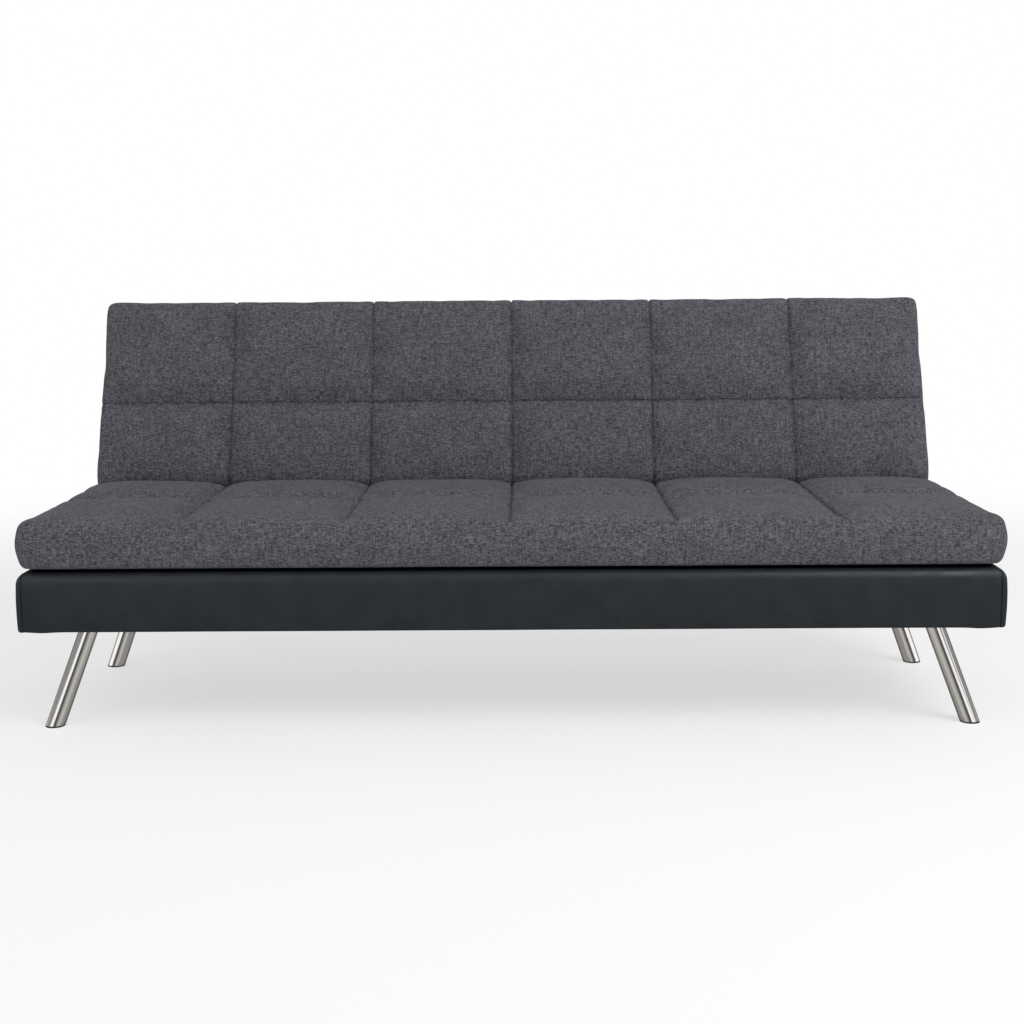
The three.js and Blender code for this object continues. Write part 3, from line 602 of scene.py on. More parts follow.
# %% Pad sizes
back_lean = math.radians(22)
pads = {
    "seat": {"length": 537 * mm, "bottom": -37 * mm, "far_radius": 20 * mm, "seams_turn_over": False},
    "back": {"length": 437 * mm, "bottom": -33 * mm, "far_radius": 26 * mm, "seams_turn_over": True},
}
pad_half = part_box("seat_cushion")[1].x - 1 * mm
pad_start = 15 * mm
pad_top = 52 * mm
channel_pitch = 304 * mm
row_seam_share = 0.445
seam_depth = 13 * mm
edge_fall_share = 0.6
side_radius = 20 * mm
pivot_radius = 33 * mm
side_foot = (19 * mm, 24 * mm)
end_foot = (12 * mm, 12 * mm)
corner_inner = 14 * mm
corner_outer = 24 * mm
corner_left = 2 * mm
side_bulge = 4 * mm
side_draw = 0.5 * mm
cavity_half = 874.4 * mm
cavity_start_setback = 31 * mm
cavity_end_setback = 42 * mm
grid_step = 12 * mm
seam_near = 6 * mm
edge_rise = (75 * mm, 15 * mm)
edge_rise_share = 0.75
seams_across = [place * channel_pitch for place in (-2, -1, 0, 1, 2)]
soft_rings = 8
hair = 1e-6


def pad_to_world(name, points):
    """Turns a pad's own x, s, t into the sofa's x, y, z."""
    x, s, t = np.asarray(points).T
    if name == "seat":
        return np.column_stack([x, pivot.y - s, pivot.z + t])
    sine, cosine = math.sin(back_lean), math.cos(back_lean)
    return np.column_stack([x, pivot.y + s * sine - t * cosine, pivot.z + s * cosine + t * sine])


print("pad half width", round(pad_half / mm, 1), "mm")

# %% Grid places and fullness
hinge_zone = (30 * mm, 80 * mm)


def stops(start, end, seams, corner):
    """Grid places from start to end, with every seam among them, and finer steps beside it and in corners."""
    knots = [start + corner, *seams, end - corner]
    places = [start, start + corner / 2]
    for low, high in zip(knots, knots[1:]):
        first = low + (seam_near if low in seams else 0)
        last = high - (seam_near if high in seams else 0)
        places += [low, *np.linspace(first, last, max(2, round((last - first) / grid_step)) + 1)]
    return np.unique(np.round(np.array([*places, end - corner, end - corner / 2, end]), 7))


def fullness(places, start, end, seams):
    """How far the cover stands up: 0 on a seam, 1 in the middle of a channel, partly fallen at its edges."""
    knots = np.array([start, *seams, end])
    places = np.clip(places, start, end)
    i = np.clip(np.searchsorted(knots, places, side="right") - 1, 0, len(knots) - 2)
    share = (places - knots[i]) / (knots[i + 1] - knots[i])
    low_start = np.where(i == 0, 1 - edge_fall_share, 0)
    low_end = np.where(i == len(knots) - 2, 1 - edge_fall_share, 0)
    arch = (4 * share * (1 - share)) ** 0.42
    return arch + (1 - arch) * (low_start + (low_end - low_start) * share)


def smooth_step(values, low, high):
    """0 below low and 1 above high, with a soft step between. It runs the other way if low is larger."""
    share = np.clip((np.asarray(values) - low) / (high - low), 0, 1)
    return share * share * (3 - 2 * share)


def near_edge(places, start, end):
    """How much a channel has flattened out at the pad's edge, so that the outline stays nearly straight."""
    to_edge = np.minimum(places - start, end - places)
    return edge_rise_share * smooth_step(to_edge, *edge_rise)


# %% The closed form of a pad
def pad_form(pad):
    """Points in pad axes, faces, flat cloth places and how firmly each point is held."""
    start, end = pad_start, pad_start + pad["length"]
    row_seams = [start + pad["length"] * row_seam_share]
    inner_half = pad_half - side_radius
    inner_start, inner_end = start + pivot_radius, end - pad["far_radius"]
    xs = stops(-inner_half, inner_half, seams_across, corner_inner)
    ss = stops(inner_start, inner_end, row_seams, corner_inner)
    grid_x, grid_s = np.meshgrid(xs, ss)
    middle, half_length = (inner_start + inner_end) / 2, (inner_end - inner_start) / 2

    # A square corner zone becomes a round one
    u = np.clip((np.abs(grid_x) - inner_half) / corner_inner + 1, 0, 1)
    v = np.clip((np.abs(grid_s - middle) - half_length) / corner_inner + 1, 0, 1)
    round_u, round_v = u * np.sqrt(1 - v ** 2 / 2), v * np.sqrt(1 - u ** 2 / 2)
    plan_x = np.sign(grid_x) * (np.abs(grid_x) + (round_u - u) * corner_inner)
    plan_s = middle + np.sign(grid_s - middle) * (np.abs(grid_s - middle) + (round_v - v) * corner_inner)

    def top(x, s):
        full_x = fullness(x, -pad_half, pad_half, seams_across)
        full_s = fullness(s, start, end, row_seams)
        full_x += (1 - full_x) * near_edge(s, -end, end)
        full_s += (1 - full_s) * near_edge(x, -pad_half, pad_half) * (s > start + hinge_zone[1])
        return pad_top - seam_depth * (1 - full_x * full_s)

    rows, columns = grid_x.shape
    points = list(zip(plan_x.ravel(), plan_s.ravel(), top(plan_x, plan_s).ravel()))
    flat = list(zip(plan_x.ravel(), plan_s.ravel()))
    on_seam = np.isclose(grid_x[..., None], seams_across).any(-1)
    on_seam |= np.isclose(grid_s[..., None], row_seams).any(-1)
    held = list(on_seam.ravel().astype(float))
    index = np.arange(rows * columns).reshape(rows, columns)
    faces = [(index[j, i], index[j, i + 1], index[j + 1, i + 1], index[j + 1, i])
             for j in range(rows - 1) for i in range(columns - 1)]

    # The border runs once round the grid, and each ring of the sides follows it outwards and down
    border = [(0, i) for i in range(columns - 1)] + [(j, columns - 1) for j in range(rows - 1)]
    border += [(rows - 1, i) for i in range(columns - 1, 0, -1)] + [(j, 0) for j in range(rows - 1, 0, -1)]
    jb, ib = np.array(border).T
    edge = np.column_stack([plan_x[jb, ib], plan_s[jb, ib]])
    square = np.column_stack([grid_x[jb, ib], grid_s[jb, ib]])
    edge_height = top(edge[:, 0], edge[:, 1])
    way_x, way_s = np.sign(edge[:, 0]), np.sign(edge[:, 1] - middle)
    on_side = np.abs(square[:, 0]) > inner_half - corner_inner + hair
    on_end = np.abs(square[:, 1] - middle) > half_length - corner_inner + hair
    away = np.column_stack([way_x * round_u[jb, ib] * on_side, way_s * round_v[jb, ib] * on_end])
    away /= np.linalg.norm(away, axis=1)[:, None]
    across, lengthwise = away.T
    outer_middle, outer_half = (start + end) / 2, (end - start) / 2
    in_corner = (np.abs(away) > hair).all(axis=1)
    corner_centre = np.column_stack([
        way_x * (pad_half - corner_outer), outer_middle + way_s * (outer_half - corner_outer)])
    straight = np.column_stack([
        np.where(across != 0, way_x * pad_half, edge[:, 0]),
        np.where(lengthwise != 0, outer_middle + np.sign(lengthwise) * outer_half, edge[:, 1])])
    outer = np.where(in_corner[:, None], corner_centre + away * corner_outer, straight)
    end_radius = np.where(edge[:, 1] > middle, pad["far_radius"], pivot_radius)
    radius = across ** 2 * side_radius + lengthwise ** 2 * end_radius
    along = np.where(across != 0, (edge[:, 1] - start) / (end - start), (edge[:, 0] + pad_half) / (2 * pad_half))
    draw = np.where(in_corner, 0, side_draw * 4 * along * (1 - along))
    foot_reach, foot_height = (
        across ** 2 * side + lengthwise ** 2 * end for side, end in zip(side_foot, end_foot))
    drawn = outer - away * draw[:, None]

    def inside(inset):
        """The outline moved inwards. A corner's points keep a small radius, so that they don't cross."""
        turn_in = np.where(in_corner, np.minimum(inset, corner_outer - corner_left), inset)
        return drawn - away * turn_in[:, None] - np.sign(away) * (inset - turn_in)[:, None]

    rings = []
    for turn in (1 / 4, 1 / 2, 3 / 4, 1):
        angle = turn * math.pi / 2
        rings.append((edge + (inside(side_bulge) - edge) * math.sin(angle),
                      edge_height - radius * (1 - math.cos(angle))))
    wall_top = edge_height - radius
    wall_foot = pad["bottom"] + foot_height
    for share in (1 / 4, 1 / 2, 3 / 4, 1):
        bulge = side_bulge * (1 - 4 * share * (1 - share))
        rings.append((drawn - away * bulge, wall_top + (wall_foot - wall_top) * share))
    for turn in (1 / 3, 2 / 3, 1):
        angle = turn * math.pi / 2
        inset = side_bulge + foot_reach * (1 - math.cos(angle))
        rings.append((inside(inset), pad["bottom"] + foot_height * (1 - math.sin(angle))))
    cavity_middle = (start + cavity_start_setback + end - cavity_end_setback) / 2
    cavity_length = (end - cavity_end_setback) - (start + cavity_start_setback)
    mouth = np.column_stack([square[:, 0] / inner_half * cavity_half,
                             cavity_middle + (square[:, 1] - middle) / half_length * cavity_length / 2])
    for height in (pad["bottom"], 0.0):
        rings.append((mouth, np.full(len(edge), height)))

    last_ring = index[jb, ib]
    last_points = np.column_stack([edge, edge_height])
    run = np.zeros(len(edge))
    for k, (plan, height) in enumerate(rings):
        ring_points = np.column_stack([plan, height])
        run += np.linalg.norm(ring_points - last_points, axis=1)
        first = len(points)
        points += [tuple(point) for point in ring_points]
        flat += [tuple(place) for place in edge + away * run[:, None]]
        held += [0.0 if k < soft_rings else 1.0] * len(edge)
        ring = np.arange(first, first + len(edge))
        following, last_following = np.roll(ring, -1), np.roll(last_ring, -1)
        faces += list(zip(last_ring, ring, following, last_following))
        last_ring, last_points = ring, ring_points
    return np.array(points), [tuple(int(i) for i in face) for face in faces], np.array(flat), np.array(held)


# %% [markdown]
# ## Blowing the pads up
#
# The cloth simulation works on the coarse form. Every point on a seam and on the lower edge is held by
# a vertex group, the rest is pushed outwards by an even pressure, and the cover is cut a little larger
# than the form, so that it wrinkles where it is held. The hinge end stays as it is, because the two pads
# nearly touch there, and the outline moves only a little, because a firm strip of foam runs round the pad.
# No point may move further than the cap.

# %% Cloth simulation
sim_frames = 20
sim_pressure = 4.0
sim_cap = 7 * mm
sim_spare = 0.02
sim_edge_share = 0.3
sim_edge = (10 * mm, 75 * mm)


def inflate(piece, held, name):
    """Runs the cloth simulation on a pad's coarse form, and returns its points in pad axes."""
    rest = points_of(piece)
    group = piece.vertex_groups.new(name="held")
    for i in np.flatnonzero(held > 0):
        group.add([int(i)], 1.0, "REPLACE")
    cloth = piece.modifiers.new("cloth", "CLOTH").settings
    cloth.vertex_group_mass = "held"
    cloth.quality = 5
    cloth.mass = 0.3
    cloth.tension_stiffness = cloth.compression_stiffness = 12
    cloth.shear_stiffness = 6
    cloth.bending_stiffness = 1.5
    cloth.shrink_min = -sim_spare
    cloth.use_pressure = True
    cloth.uniform_pressure_force = sim_pressure
    cloth.effector_weights.gravity = 0
    scene = bpy.context.scene
    for step in range(1, sim_frames + 1):
        scene.frame_set(step)
    graph = bpy.context.evaluated_depsgraph_get()
    moved = rows_of(piece.evaluated_get(graph).to_mesh().vertices, "co", 3) - rest
    piece.evaluated_get(graph).to_mesh_clear()
    piece.modifiers.clear()
    piece.vertex_groups.clear()
    scene.frame_set(1)
    length = np.linalg.norm(moved, axis=1)
    moved *= (np.minimum(length, sim_cap) / np.maximum(length, 1e-9))[:, None]
    loose = np.clip((rest[:, 1] - hinge_zone[0]) / (hinge_zone[1] - hinge_zone[0]), 0, 1)
    to_edge = np.minimum(pad_half - np.abs(rest[:, 0]), pad_start + pads[name]["length"] - rest[:, 1])
    loose *= sim_edge_share + (1 - sim_edge_share) * smooth_step(to_edge, *sim_edge)
    print(f"{name}: cloth moved {length.max() / mm:.1f} mm at most, {length.mean() / mm:.2f} mm on average")
    return rest + moved * loose[:, None]


# %% [markdown]
# ## Seams, laps and puckers
#
# At each seam the cover is pulled down into a narrow groove, with one edge folded over as a flat lap
# and topstitched. Short puckers run away from the seam at right angles, and where two seams cross the
# cover is pulled in a little more. All of this follows the flat place of each point on the cloth.

# %% Seam relief
groove_depth = 3.6 * mm
groove_width = 1.7 * mm
shoulder_depth = 1.6 * mm
shoulder_width = 9 * mm
lap_height = 0.6 * mm
lap_width = 6 * mm
stitch_place = 4.5 * mm
stitch_groove = (0.5 * mm, 1.2 * mm)
cross_depth = 2.4 * mm
cross_width = 14 * mm
pucker_height = 0.8 * mm
pucker_reach = 22 * mm
pucker_pitch = 15 * mm
pucker_length = 90 * mm
lump_height = 1.0 * mm
lump_size = 110 * mm


def sewn_share(pad, flat, lengthwise):
    """1 where a seam is sewn, and 0 beyond the edge where it stops."""
    end = pad_start + pad["length"]
    if not lengthwise:
        return smooth_step(np.abs(flat[:, 0]), pad_half + 25 * mm, pad_half + 5 * mm)
    stop = end + 75 * mm if pad["seams_turn_over"] else end - pad["far_radius"] + 8 * mm
    return smooth_step(flat[:, 1], stop, stop - 14 * mm)


def seam_relief(pad, flat, seed):
    """How far each point stands off the smooth cover: grooves are negative, laps and puckers positive."""
    row = pad_start + pad["length"] * row_seam_share
    lengthwise = [(flat[:, 0] - seam, sewn_share(pad, flat, True), (pucker_length, pucker_pitch))
                  for seam in seams_across]
    crosswise = [(row - flat[:, 1], sewn_share(pad, flat, False), (pucker_pitch, pucker_length))]
    relief = np.zeros(len(flat))
    for number, (offset, sewn, size) in enumerate(lengthwise + crosswise):
        near = np.abs(offset)
        pulled = groove_depth * np.exp(-(near / groove_width) ** 2)
        pulled += shoulder_depth * np.exp(-near / shoulder_width)
        pulled += stitch_groove[0] * np.exp(-((offset - stitch_place) / stitch_groove[1]) ** 2)
        lap = lap_height * smooth_step(offset, 0.5 * mm, 2.5 * mm)
        lap *= smooth_step(offset, lap_width + mm, lap_width)
        puckers = pucker_height * ripple(flat, size, seed + number) * np.exp(-near / pucker_reach)
        relief += sewn * (lap - pulled + puckers * np.clip(near / (4 * mm), 0, 1))
    for seam in seams_across:
        reach = np.hypot(flat[:, 0] - seam, flat[:, 1] - row)
        relief -= cross_depth * np.exp(-(reach / cross_width) ** 2)
    relief += lump_height * ripple(flat, (lump_size, lump_size), seed + 20)
    return relief


# %% Make the pads
def make_pad(name):
    """The cover of a pad with its seams, still in the pad's own axes."""
    pad = pads[name]
    points, faces, flat, held = pad_form(pad)
    cover = make_object(f"{name}_cover", points, faces, melange_weave, flat)
    cushion_points = inflate(cover, held, name)
    set_points(cover, cushion_points)
    smooth = cover.modifiers.new("smooth", "SUBSURF")
    smooth.levels = smooth.render_levels = 2
    apply_modifiers(cover)
    close_hole(cover)
    flat = flat_places_of(cover.data)
    normals = rows_of(cover.data.vertex_normals, "vector", 3)
    fine = points_of(cover)
    outside = np.clip((fine[:, 2] - pad["bottom"]) / (6 * mm), 0, 1)
    away_from_hinge = np.clip((fine[:, 1] - pad_start - 6 * mm) / (25 * mm), 0, 1)
    relief = seam_relief(pad, flat, 1.0 if name == "seat" else 51.0)
    relief = np.where(relief > 0, relief * away_from_hinge, relief) * outside
    set_points(cover, fine + normals * relief[:, None])
    return cover


covers = {name: make_pad(name) for name in pads}

# %% [markdown]
# ## Slits for the steel arms
#
# At the hinge end both pads are slit, so that the steel arms come out of the frame and turn on their bolts.
# A slit is cut with a boolean, because its walls are plain and the steel inside must stay clear of the foam.

# %% Cut the slits
slit_sides = (857.6 * mm, 874.4 * mm)
slit_end = 47.3 * mm
slit_top = 15.5 * mm
slit_floor = -53 * mm


def box_body(low, high):
    """A closed box, for a cutter."""
    corners = [(x, y, z) for z in (low[2], high[2]) for y in (low[1], high[1]) for x in (low[0], high[0])]
    return np.array(corners), [
        (0, 2, 3, 1), (4, 5, 7, 6), (0, 1, 5, 4), (2, 6, 7, 3), (0, 4, 6, 2), (1, 3, 7, 5)]


def cut_slits(cover):
    boxes = []
    for side in sides.values():
        x = sorted((side * slit_sides[0], side * slit_sides[1]))
        boxes.append(box_body((x[0], -slit_end, slit_floor), (x[1], slit_end, slit_top)))
    cutter = make_object("slit_cutter", *join(boxes), melange_weave)
    cutting = cover.modifiers.new("slits", "BOOLEAN")
    cutting.object = cutter
    cutting.operation = "DIFFERENCE"
    cutting.solver = "MANIFOLD"
    before = len(cover.data.polygons)
    apply_modifiers(cover)
    bpy.data.objects.remove(cutter)
    print(cover.name, "faces:", before, "before the slits,", len(cover.data.polygons), "after")


for cover in covers.values():
    cut_slits(cover)

# %% [markdown]
# ## Topstitching
#
# Beside each seam a line of stitches holds the lap down. A stitch shows for 4.6 mm and then dips through the
# cover, so the stitches lie 7 mm apart. Each is a small bar of thread, sunk a little into the cover.
# They are copies of one bar, because a curve for every stitch would be slow to make.

# %% Stitches
stitch_length = 4.6 * mm
stitch_pitch = 7 * mm
stitch_radius = 0.55 * mm
stitch_sink = 0.2 * mm
stitches_above = -23 * mm
thread = speckled_material("polyester_thread", "#333238", "#4a4950", 0.7 * mm, 0.7)
stitch_shares = np.array([-0.5, -0.42, -0.2, 0.2, 0.42, 0.5])
stitch_body = sweep(np.column_stack([stitch_shares * stitch_length, 0 * stitch_shares, 0 * stitch_shares]),
                    np.array([0.35, 0.8, 1, 1, 0.8, 0.35]) * stitch_radius, 6)


def stitch_places(pad):
    """Flat places and directions of the stitches of one pad."""
    end = pad_start + pad["length"]
    row = pad_start + pad["length"] * row_seam_share
    last = end + 40 * mm if pad["seams_turn_over"] else end - pad["far_radius"] - 6 * mm
    places = []
    for seam in seams_across:
        places += [((seam + stitch_place, s), (0, 1))
                   for s in np.arange(pad_start + 45 * mm, last, stitch_pitch)]
    reach = pad_half + 6 * mm
    places += [((x, row - stitch_place), (1, 0)) for x in np.arange(-reach, reach, stitch_pitch)]
    return places


def stitch(name, cover):
    """The topstitching on one finished cover."""
    flat = flat_places_of(cover.data)
    fine = points_of(cover)
    outer = np.flatnonzero(fine[:, 2] > stitches_above)
    tree = KDTree(len(outer))
    for i in outer:
        tree.insert((*flat[i], 0), int(i))
    tree.balance()
    surface = BVHTree.FromObject(cover, bpy.context.evaluated_depsgraph_get())
    found = []
    for place, way in stitch_places(pads[name]):
        ends = []
        for share in (-0.5, 0.5):
            aim = (place[0] + way[0] * share * stitch_length, place[1] + way[1] * share * stitch_length, 0)
            near = tree.find_n(aim, 4)
            weights = np.array([1 / (distance + 0.2 * mm) for _, _, distance in near])
            guess = (fine[[i for _, i, _ in near]] * weights[:, None]).sum(axis=0) / weights.sum()
            spot, normal, _, _ = surface.find_nearest(Vector(guess))
            ends.append((np.array(spot), np.array(normal)))
        (first, normal), (second, other) = ends
        if not 0.6 * stitch_length < np.linalg.norm(second - first) < 1.4 * stitch_length:
            continue
        along = (second - first) / np.linalg.norm(second - first)
        up = normal + other
        up -= along * up.dot(along)
        up /= np.linalg.norm(up)
        found.append(((first + second) / 2 - up * stitch_sink, along, np.cross(up, along), up))
    return make_object(f"{name}_stitching", *copies(stitch_body, found), thread)


seams = {name: stitch(name, cover) for name, cover in covers.items()}

# %% Place the pads
for name, cover in covers.items():
    for piece in (cover, seams[name]):
        set_points(piece, pad_to_world(name, points_of(piece)))
        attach(piece, name)
    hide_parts(f"{name}_cushion")
    print(cover.name, len(cover.data.polygons), "faces,", len(seams[name].data.vertices) // 36, "stitches")

# %% [markdown]
# ## Linings
#
# The undersides of both frames and of the base are closed with thin black cloth. It is folded double at its
# hem and stapled, hangs a little between the rails, and on the pads it is turned up over the sides of the
# frame, so no pine shows between the pad and the base. Each lining is a grid whose lines run along the hem,
# pushed down by smooth noise between the rails. A cloth simulation would do no more here.

# %% Lining sizes
lining_thickness = 0.15 * mm
lining_gap = 0.08 * mm
hem_width = 16 * mm
hem_fold = 0.35 * mm
lining_step = 14 * mm
staple_pitch = 55 * mm
staple_inset = 8 * mm
staple_half = 5 * mm
staple_wire = 0.45 * mm


def lining_lines(low, high, rise, extra=()):
    """The grid lines of a lining one way: the turned-up edge, the hem, and even steps between."""
    inner = np.linspace(low + hem_width + mm, high - hem_width - mm, round((high - low) / lining_step))
    edges = [low - rise, low, low + hem_width, high - hem_width, high, high + rise]
    return np.unique(np.round(np.array([*edges, *inner, *extra]), 6))


def lining(name, low, high, height, rise, sag, rails, notches=()):
    """A lining from low to high in its own axes. It is held up at rails, each a place and a half width."""
    xs = lining_lines(low[0], high[0], rise, [x for notch in notches for x in (notch[0][0], notch[1][0])])
    ys = lining_lines(low[1], high[1], rise, [y for notch in notches for y in (notch[0][1], notch[1][1])])
    p, q = np.meshgrid(xs, ys)
    over_p = np.maximum(np.maximum(low[0] - p, p - high[0]), 0)
    over_q = np.maximum(np.maximum(low[1] - q, q - high[1]), 0)
    inside = np.minimum(np.minimum(p - low[0], high[0] - p), np.minimum(q - low[1], high[1] - q))
    slack = smooth_step(inside, hem_width, hem_width + 60 * mm)
    for place, half in rails:
        slack = slack * smooth_step(np.abs(p - place), half, half + 40 * mm)
    flat = np.column_stack([p.ravel(), q.ravel()])
    waves = (ripple(flat, (150 * mm, 60 * mm), 3.0) + ripple(flat, (35 * mm, 110 * mm), 5.0)) / 2
    h = height + np.maximum(over_p, over_q) - slack * sag * (0.6 + 0.4 * waves.reshape(p.shape))
    h -= hem_fold * smooth_step(inside, hem_width + mm, hem_width) * (inside >= 0)
    points = np.column_stack([part.ravel() for part in (
        np.clip(p, low[0], high[0]), np.clip(q, low[1], high[1]), h)])
    columns = len(xs)
    faces = []
    for j in range(len(ys) - 1):
        for i in range(columns - 1):
            x, y = (xs[i] + xs[i + 1]) / 2, (ys[j] + ys[j + 1]) / 2
            outside = (not low[0] < x < high[0]) and (not low[1] < y < high[1])
            if outside or any(a[0] < x < b[0] and a[1] < y < b[1] for a, b in notches):
                continue
            k = j * columns + i
            faces.append((k, k + columns, k + columns + 1, k + 1))
    cloth = make_object(f"{name}_lining", points, faces, nonwoven_cloth, flat)
    work = bmesh.new()
    work.from_mesh(cloth.data)
    bmesh.ops.delete(work, geom=[point for point in work.verts if not point.link_faces], context="VERTS")
    work.to_mesh(cloth.data)
    work.free()
    thick = cloth.modifiers.new("thickness", "SOLIDIFY")
    thick.thickness = lining_thickness
    thick.offset = -1
    apply_modifiers(cloth)
    return cloth, (xs[-1] - xs[0], ys[-1] - ys[0])


staple_path = np.array([
    (-1, 0, 0.7), (-0.96, 0, -0.25), (-0.8, 0, -0.5), (0.8, 0, -0.5), (0.96, 0, -0.25), (1, 0, 0.7)])
staple_body = sweep(staple_path * (staple_half, 1, mm), staple_wire, 6)


def staples(name, low, high, height, notches=()):
    """Staples round the hem of a lining, each turned a little by chance, as a staple gun leaves them."""
    chance = np.random.default_rng(len(name))
    spots = []
    for y in (low[1] + staple_inset, high[1] - staple_inset):
        spots += [(x, y, 0.0) for x in np.arange(low[0] + 20 * mm, high[0] - 10 * mm, staple_pitch)]
    for x in (low[0] + staple_inset, high[0] - staple_inset):
        spots += [(x, y, math.pi / 2) for y in np.arange(low[1] + 35 * mm, high[1] - 25 * mm, staple_pitch)]
    places = []
    for x, y, turn in spots:
        turn += chance.normal(0, 0.09)
        y += chance.normal(0, 0.8 * mm)
        if any(a[0] - 8 * mm < x < b[0] + 8 * mm and a[1] - 8 * mm < y < b[1] + 8 * mm for a, b in notches):
            continue
        along = np.array((math.cos(turn), math.sin(turn), 0))
        places.append(((x, y, height - hem_fold), along, (-along[1], along[0], 0), (0, 0, 1)))
    return make_object(f"{name}_staples", *copies(staple_body, places), zinc_plate)


# %% Make the linings
deck_low, deck_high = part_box("seat_deck")
frame_half = deck_high.x + lining_gap
frame_start = pivot.y - deck_high.y - lining_gap
seat_frame_end = pivot.y - deck_low.y + lining_gap
cloth_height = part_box("seat_dust_cloth")[0].z - pivot.z + 0.3 * mm
upstand = 43.5 * mm
rail_lines = [(place * mm, 12.5 * mm) for place in (-420, 0, 420)]
base_cross = [((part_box(f"base_cross_rail_{side}")[0].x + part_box(f"base_cross_rail_{side}")[1].x) / 2, 24 * mm)
              for side in sides]
base_cloth_low, base_cloth_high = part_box("base_dust_cloth")
plates = [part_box(f"leg_plate_{end}_{side}") for end in ("front", "rear") for side in sides]
plate_holes = [((a.x - 0.3 * mm, a.y - 0.3 * mm), (b.x + 0.3 * mm, b.y + 0.3 * mm)) for a, b in plates]
linings = {
    "seat": ((-frame_half, frame_start), (frame_half, seat_frame_end), cloth_height, upstand,
             2.5 * mm, rail_lines + base_cross, ()),
    "back": ((-frame_half, frame_start), (frame_half, seat_frame_end - 100 * mm), cloth_height, upstand,
             3.0 * mm, rail_lines, ()),
    "base": (tuple(base_cloth_low.xy), tuple(base_cloth_high.xy), base_cloth_low.z + 0.5 * mm, 0.0,
             2.0 * mm, base_cross, plate_holes),
}
for name, (low, high, height, rise, sag, rails, notches) in linings.items():
    cloth, flat_size = lining(name, low, high, height, rise, sag, rails, notches)
    tacks = staples(name, low, high, height, notches)
    for piece in (cloth, tacks):
        if name in pads:
            set_points(piece, pad_to_world(name, points_of(piece)))
        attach(piece, name)
    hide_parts(f"{name}_dust_cloth")
    print(cloth.name, [round(size / mm) for size in flat_size], "mm")

# %% [markdown]
# ## The wrap of the base
#
# The base box is wrapped in four strips of leatherette. Each is stapled under the rail, pulled up over the
# face and stapled on top. The side strips are folded round the corners and lie 9 mm over the front and the
# rear strip, which dip under them. A strip is a grid: its columns run along the rail, and its rows follow
# the section from the upper lip to the lower one. Small waves show where the skin is pulled over an edge,
# with finer gathers at the corners. The skin hangs 3 mm below the rail before it turns in to its staples.
# A solidify modifier gives it its thickness, to the inside.

# %% Wrap sizes
base_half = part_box("base_cover_right")[1].x
base_front, base_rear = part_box("base_cover_front")[0].y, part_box("base_cover_rear")[1].y
base_foot, base_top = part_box("base_cover_front")[0].z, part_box("base_cover_front")[1].z
base_middle = (base_front + base_rear) / 2
wrap_lip = 20 * mm
wrap_skin = 0.9 * mm
wrap_top_radius = 18 * mm
wrap_top_drop = 24 * mm
wrap_puff = 2 * mm
wrap_sag = 3 * mm
wrap_unevenness = 0.6 * mm
wrap_foot_radius = 6 * mm
wrap_corner = 5 * mm
wrap_step = 7 * mm
wrap_belly = 1.2 * mm
flap_width = 9 * mm
flap_hem = 0.7 * mm
flap_dip = 1.3 * mm
corner_reach = 60 * mm
core_half = np.array((base_half, (base_rear - base_front) / 2)) - wrap_corner


def wrap_section():
    """Rows from the upper lip to the lower one: inset from the outer face, and height."""
    turn = np.linspace(0, math.pi / 2, 8)[:, None]
    sine, cosine = np.sin(turn), np.cos(turn)
    lower_foot = base_foot - wrap_sag
    upper = np.hstack([wrap_top_radius * (1 - sine), base_top + wrap_puff - wrap_top_drop * (1 - cosine)])
    lower = np.hstack([wrap_foot_radius * (1 - cosine), lower_foot + wrap_foot_radius * (1 - sine)])
    share = np.linspace(0, 1, 15)[1:-1, None]
    belly = np.hstack([4 * wrap_belly * share * (1 - share), 0 * share])
    face = upper[-1] + (lower[0] - upper[-1]) * share - belly
    top_lip = [(wrap_lip + 1.5 * mm, base_top), (wrap_lip, base_top + 0.5 * mm)]
    foot_lip = [(inset, lower_foot + wrap_sag * lift)
                for inset, lift in ((10 * mm, 0.3), (15 * mm, 0.8), (wrap_lip, 1))]
    return np.concatenate([top_lip, upper, face, lower, foot_lip])


section = wrap_section()
section_run = np.concatenate([[0], np.cumsum(np.linalg.norm(np.diff(section, axis=0), axis=1))])
print("wrap section", round(section_run[-1] / mm), "mm long,", len(section), "rows")

# %% Paths of the strips
def wrap_places(core, away, inset):
    """Plan places at one inset. Rows deeper than the corner's radius are drawn together near the corner."""
    deeper = np.maximum(inset - wrap_corner, 0)[:, None]
    share = np.clip(1 - (core_half - np.abs(core)) / corner_reach, 0, 1)
    outwards = away * (wrap_corner - np.minimum(inset, wrap_corner))[:, None]
    return core - np.sign(core) * share * deeper + outwards


def straight_path(side):
    """Core places and outward directions of the front strip (side -1) or the rear one (side 1)."""
    end = base_half - wrap_corner
    x = np.linspace(-end, end, round(2 * end / wrap_step))
    x = np.unique(np.concatenate([x, *[way * (end - np.arange(0, 14, 2) * mm) for way in (-1, 1)]]))
    return np.column_stack([x, np.full(len(x), side * core_half[1])]), np.tile((0.0, side), (len(x), 1))


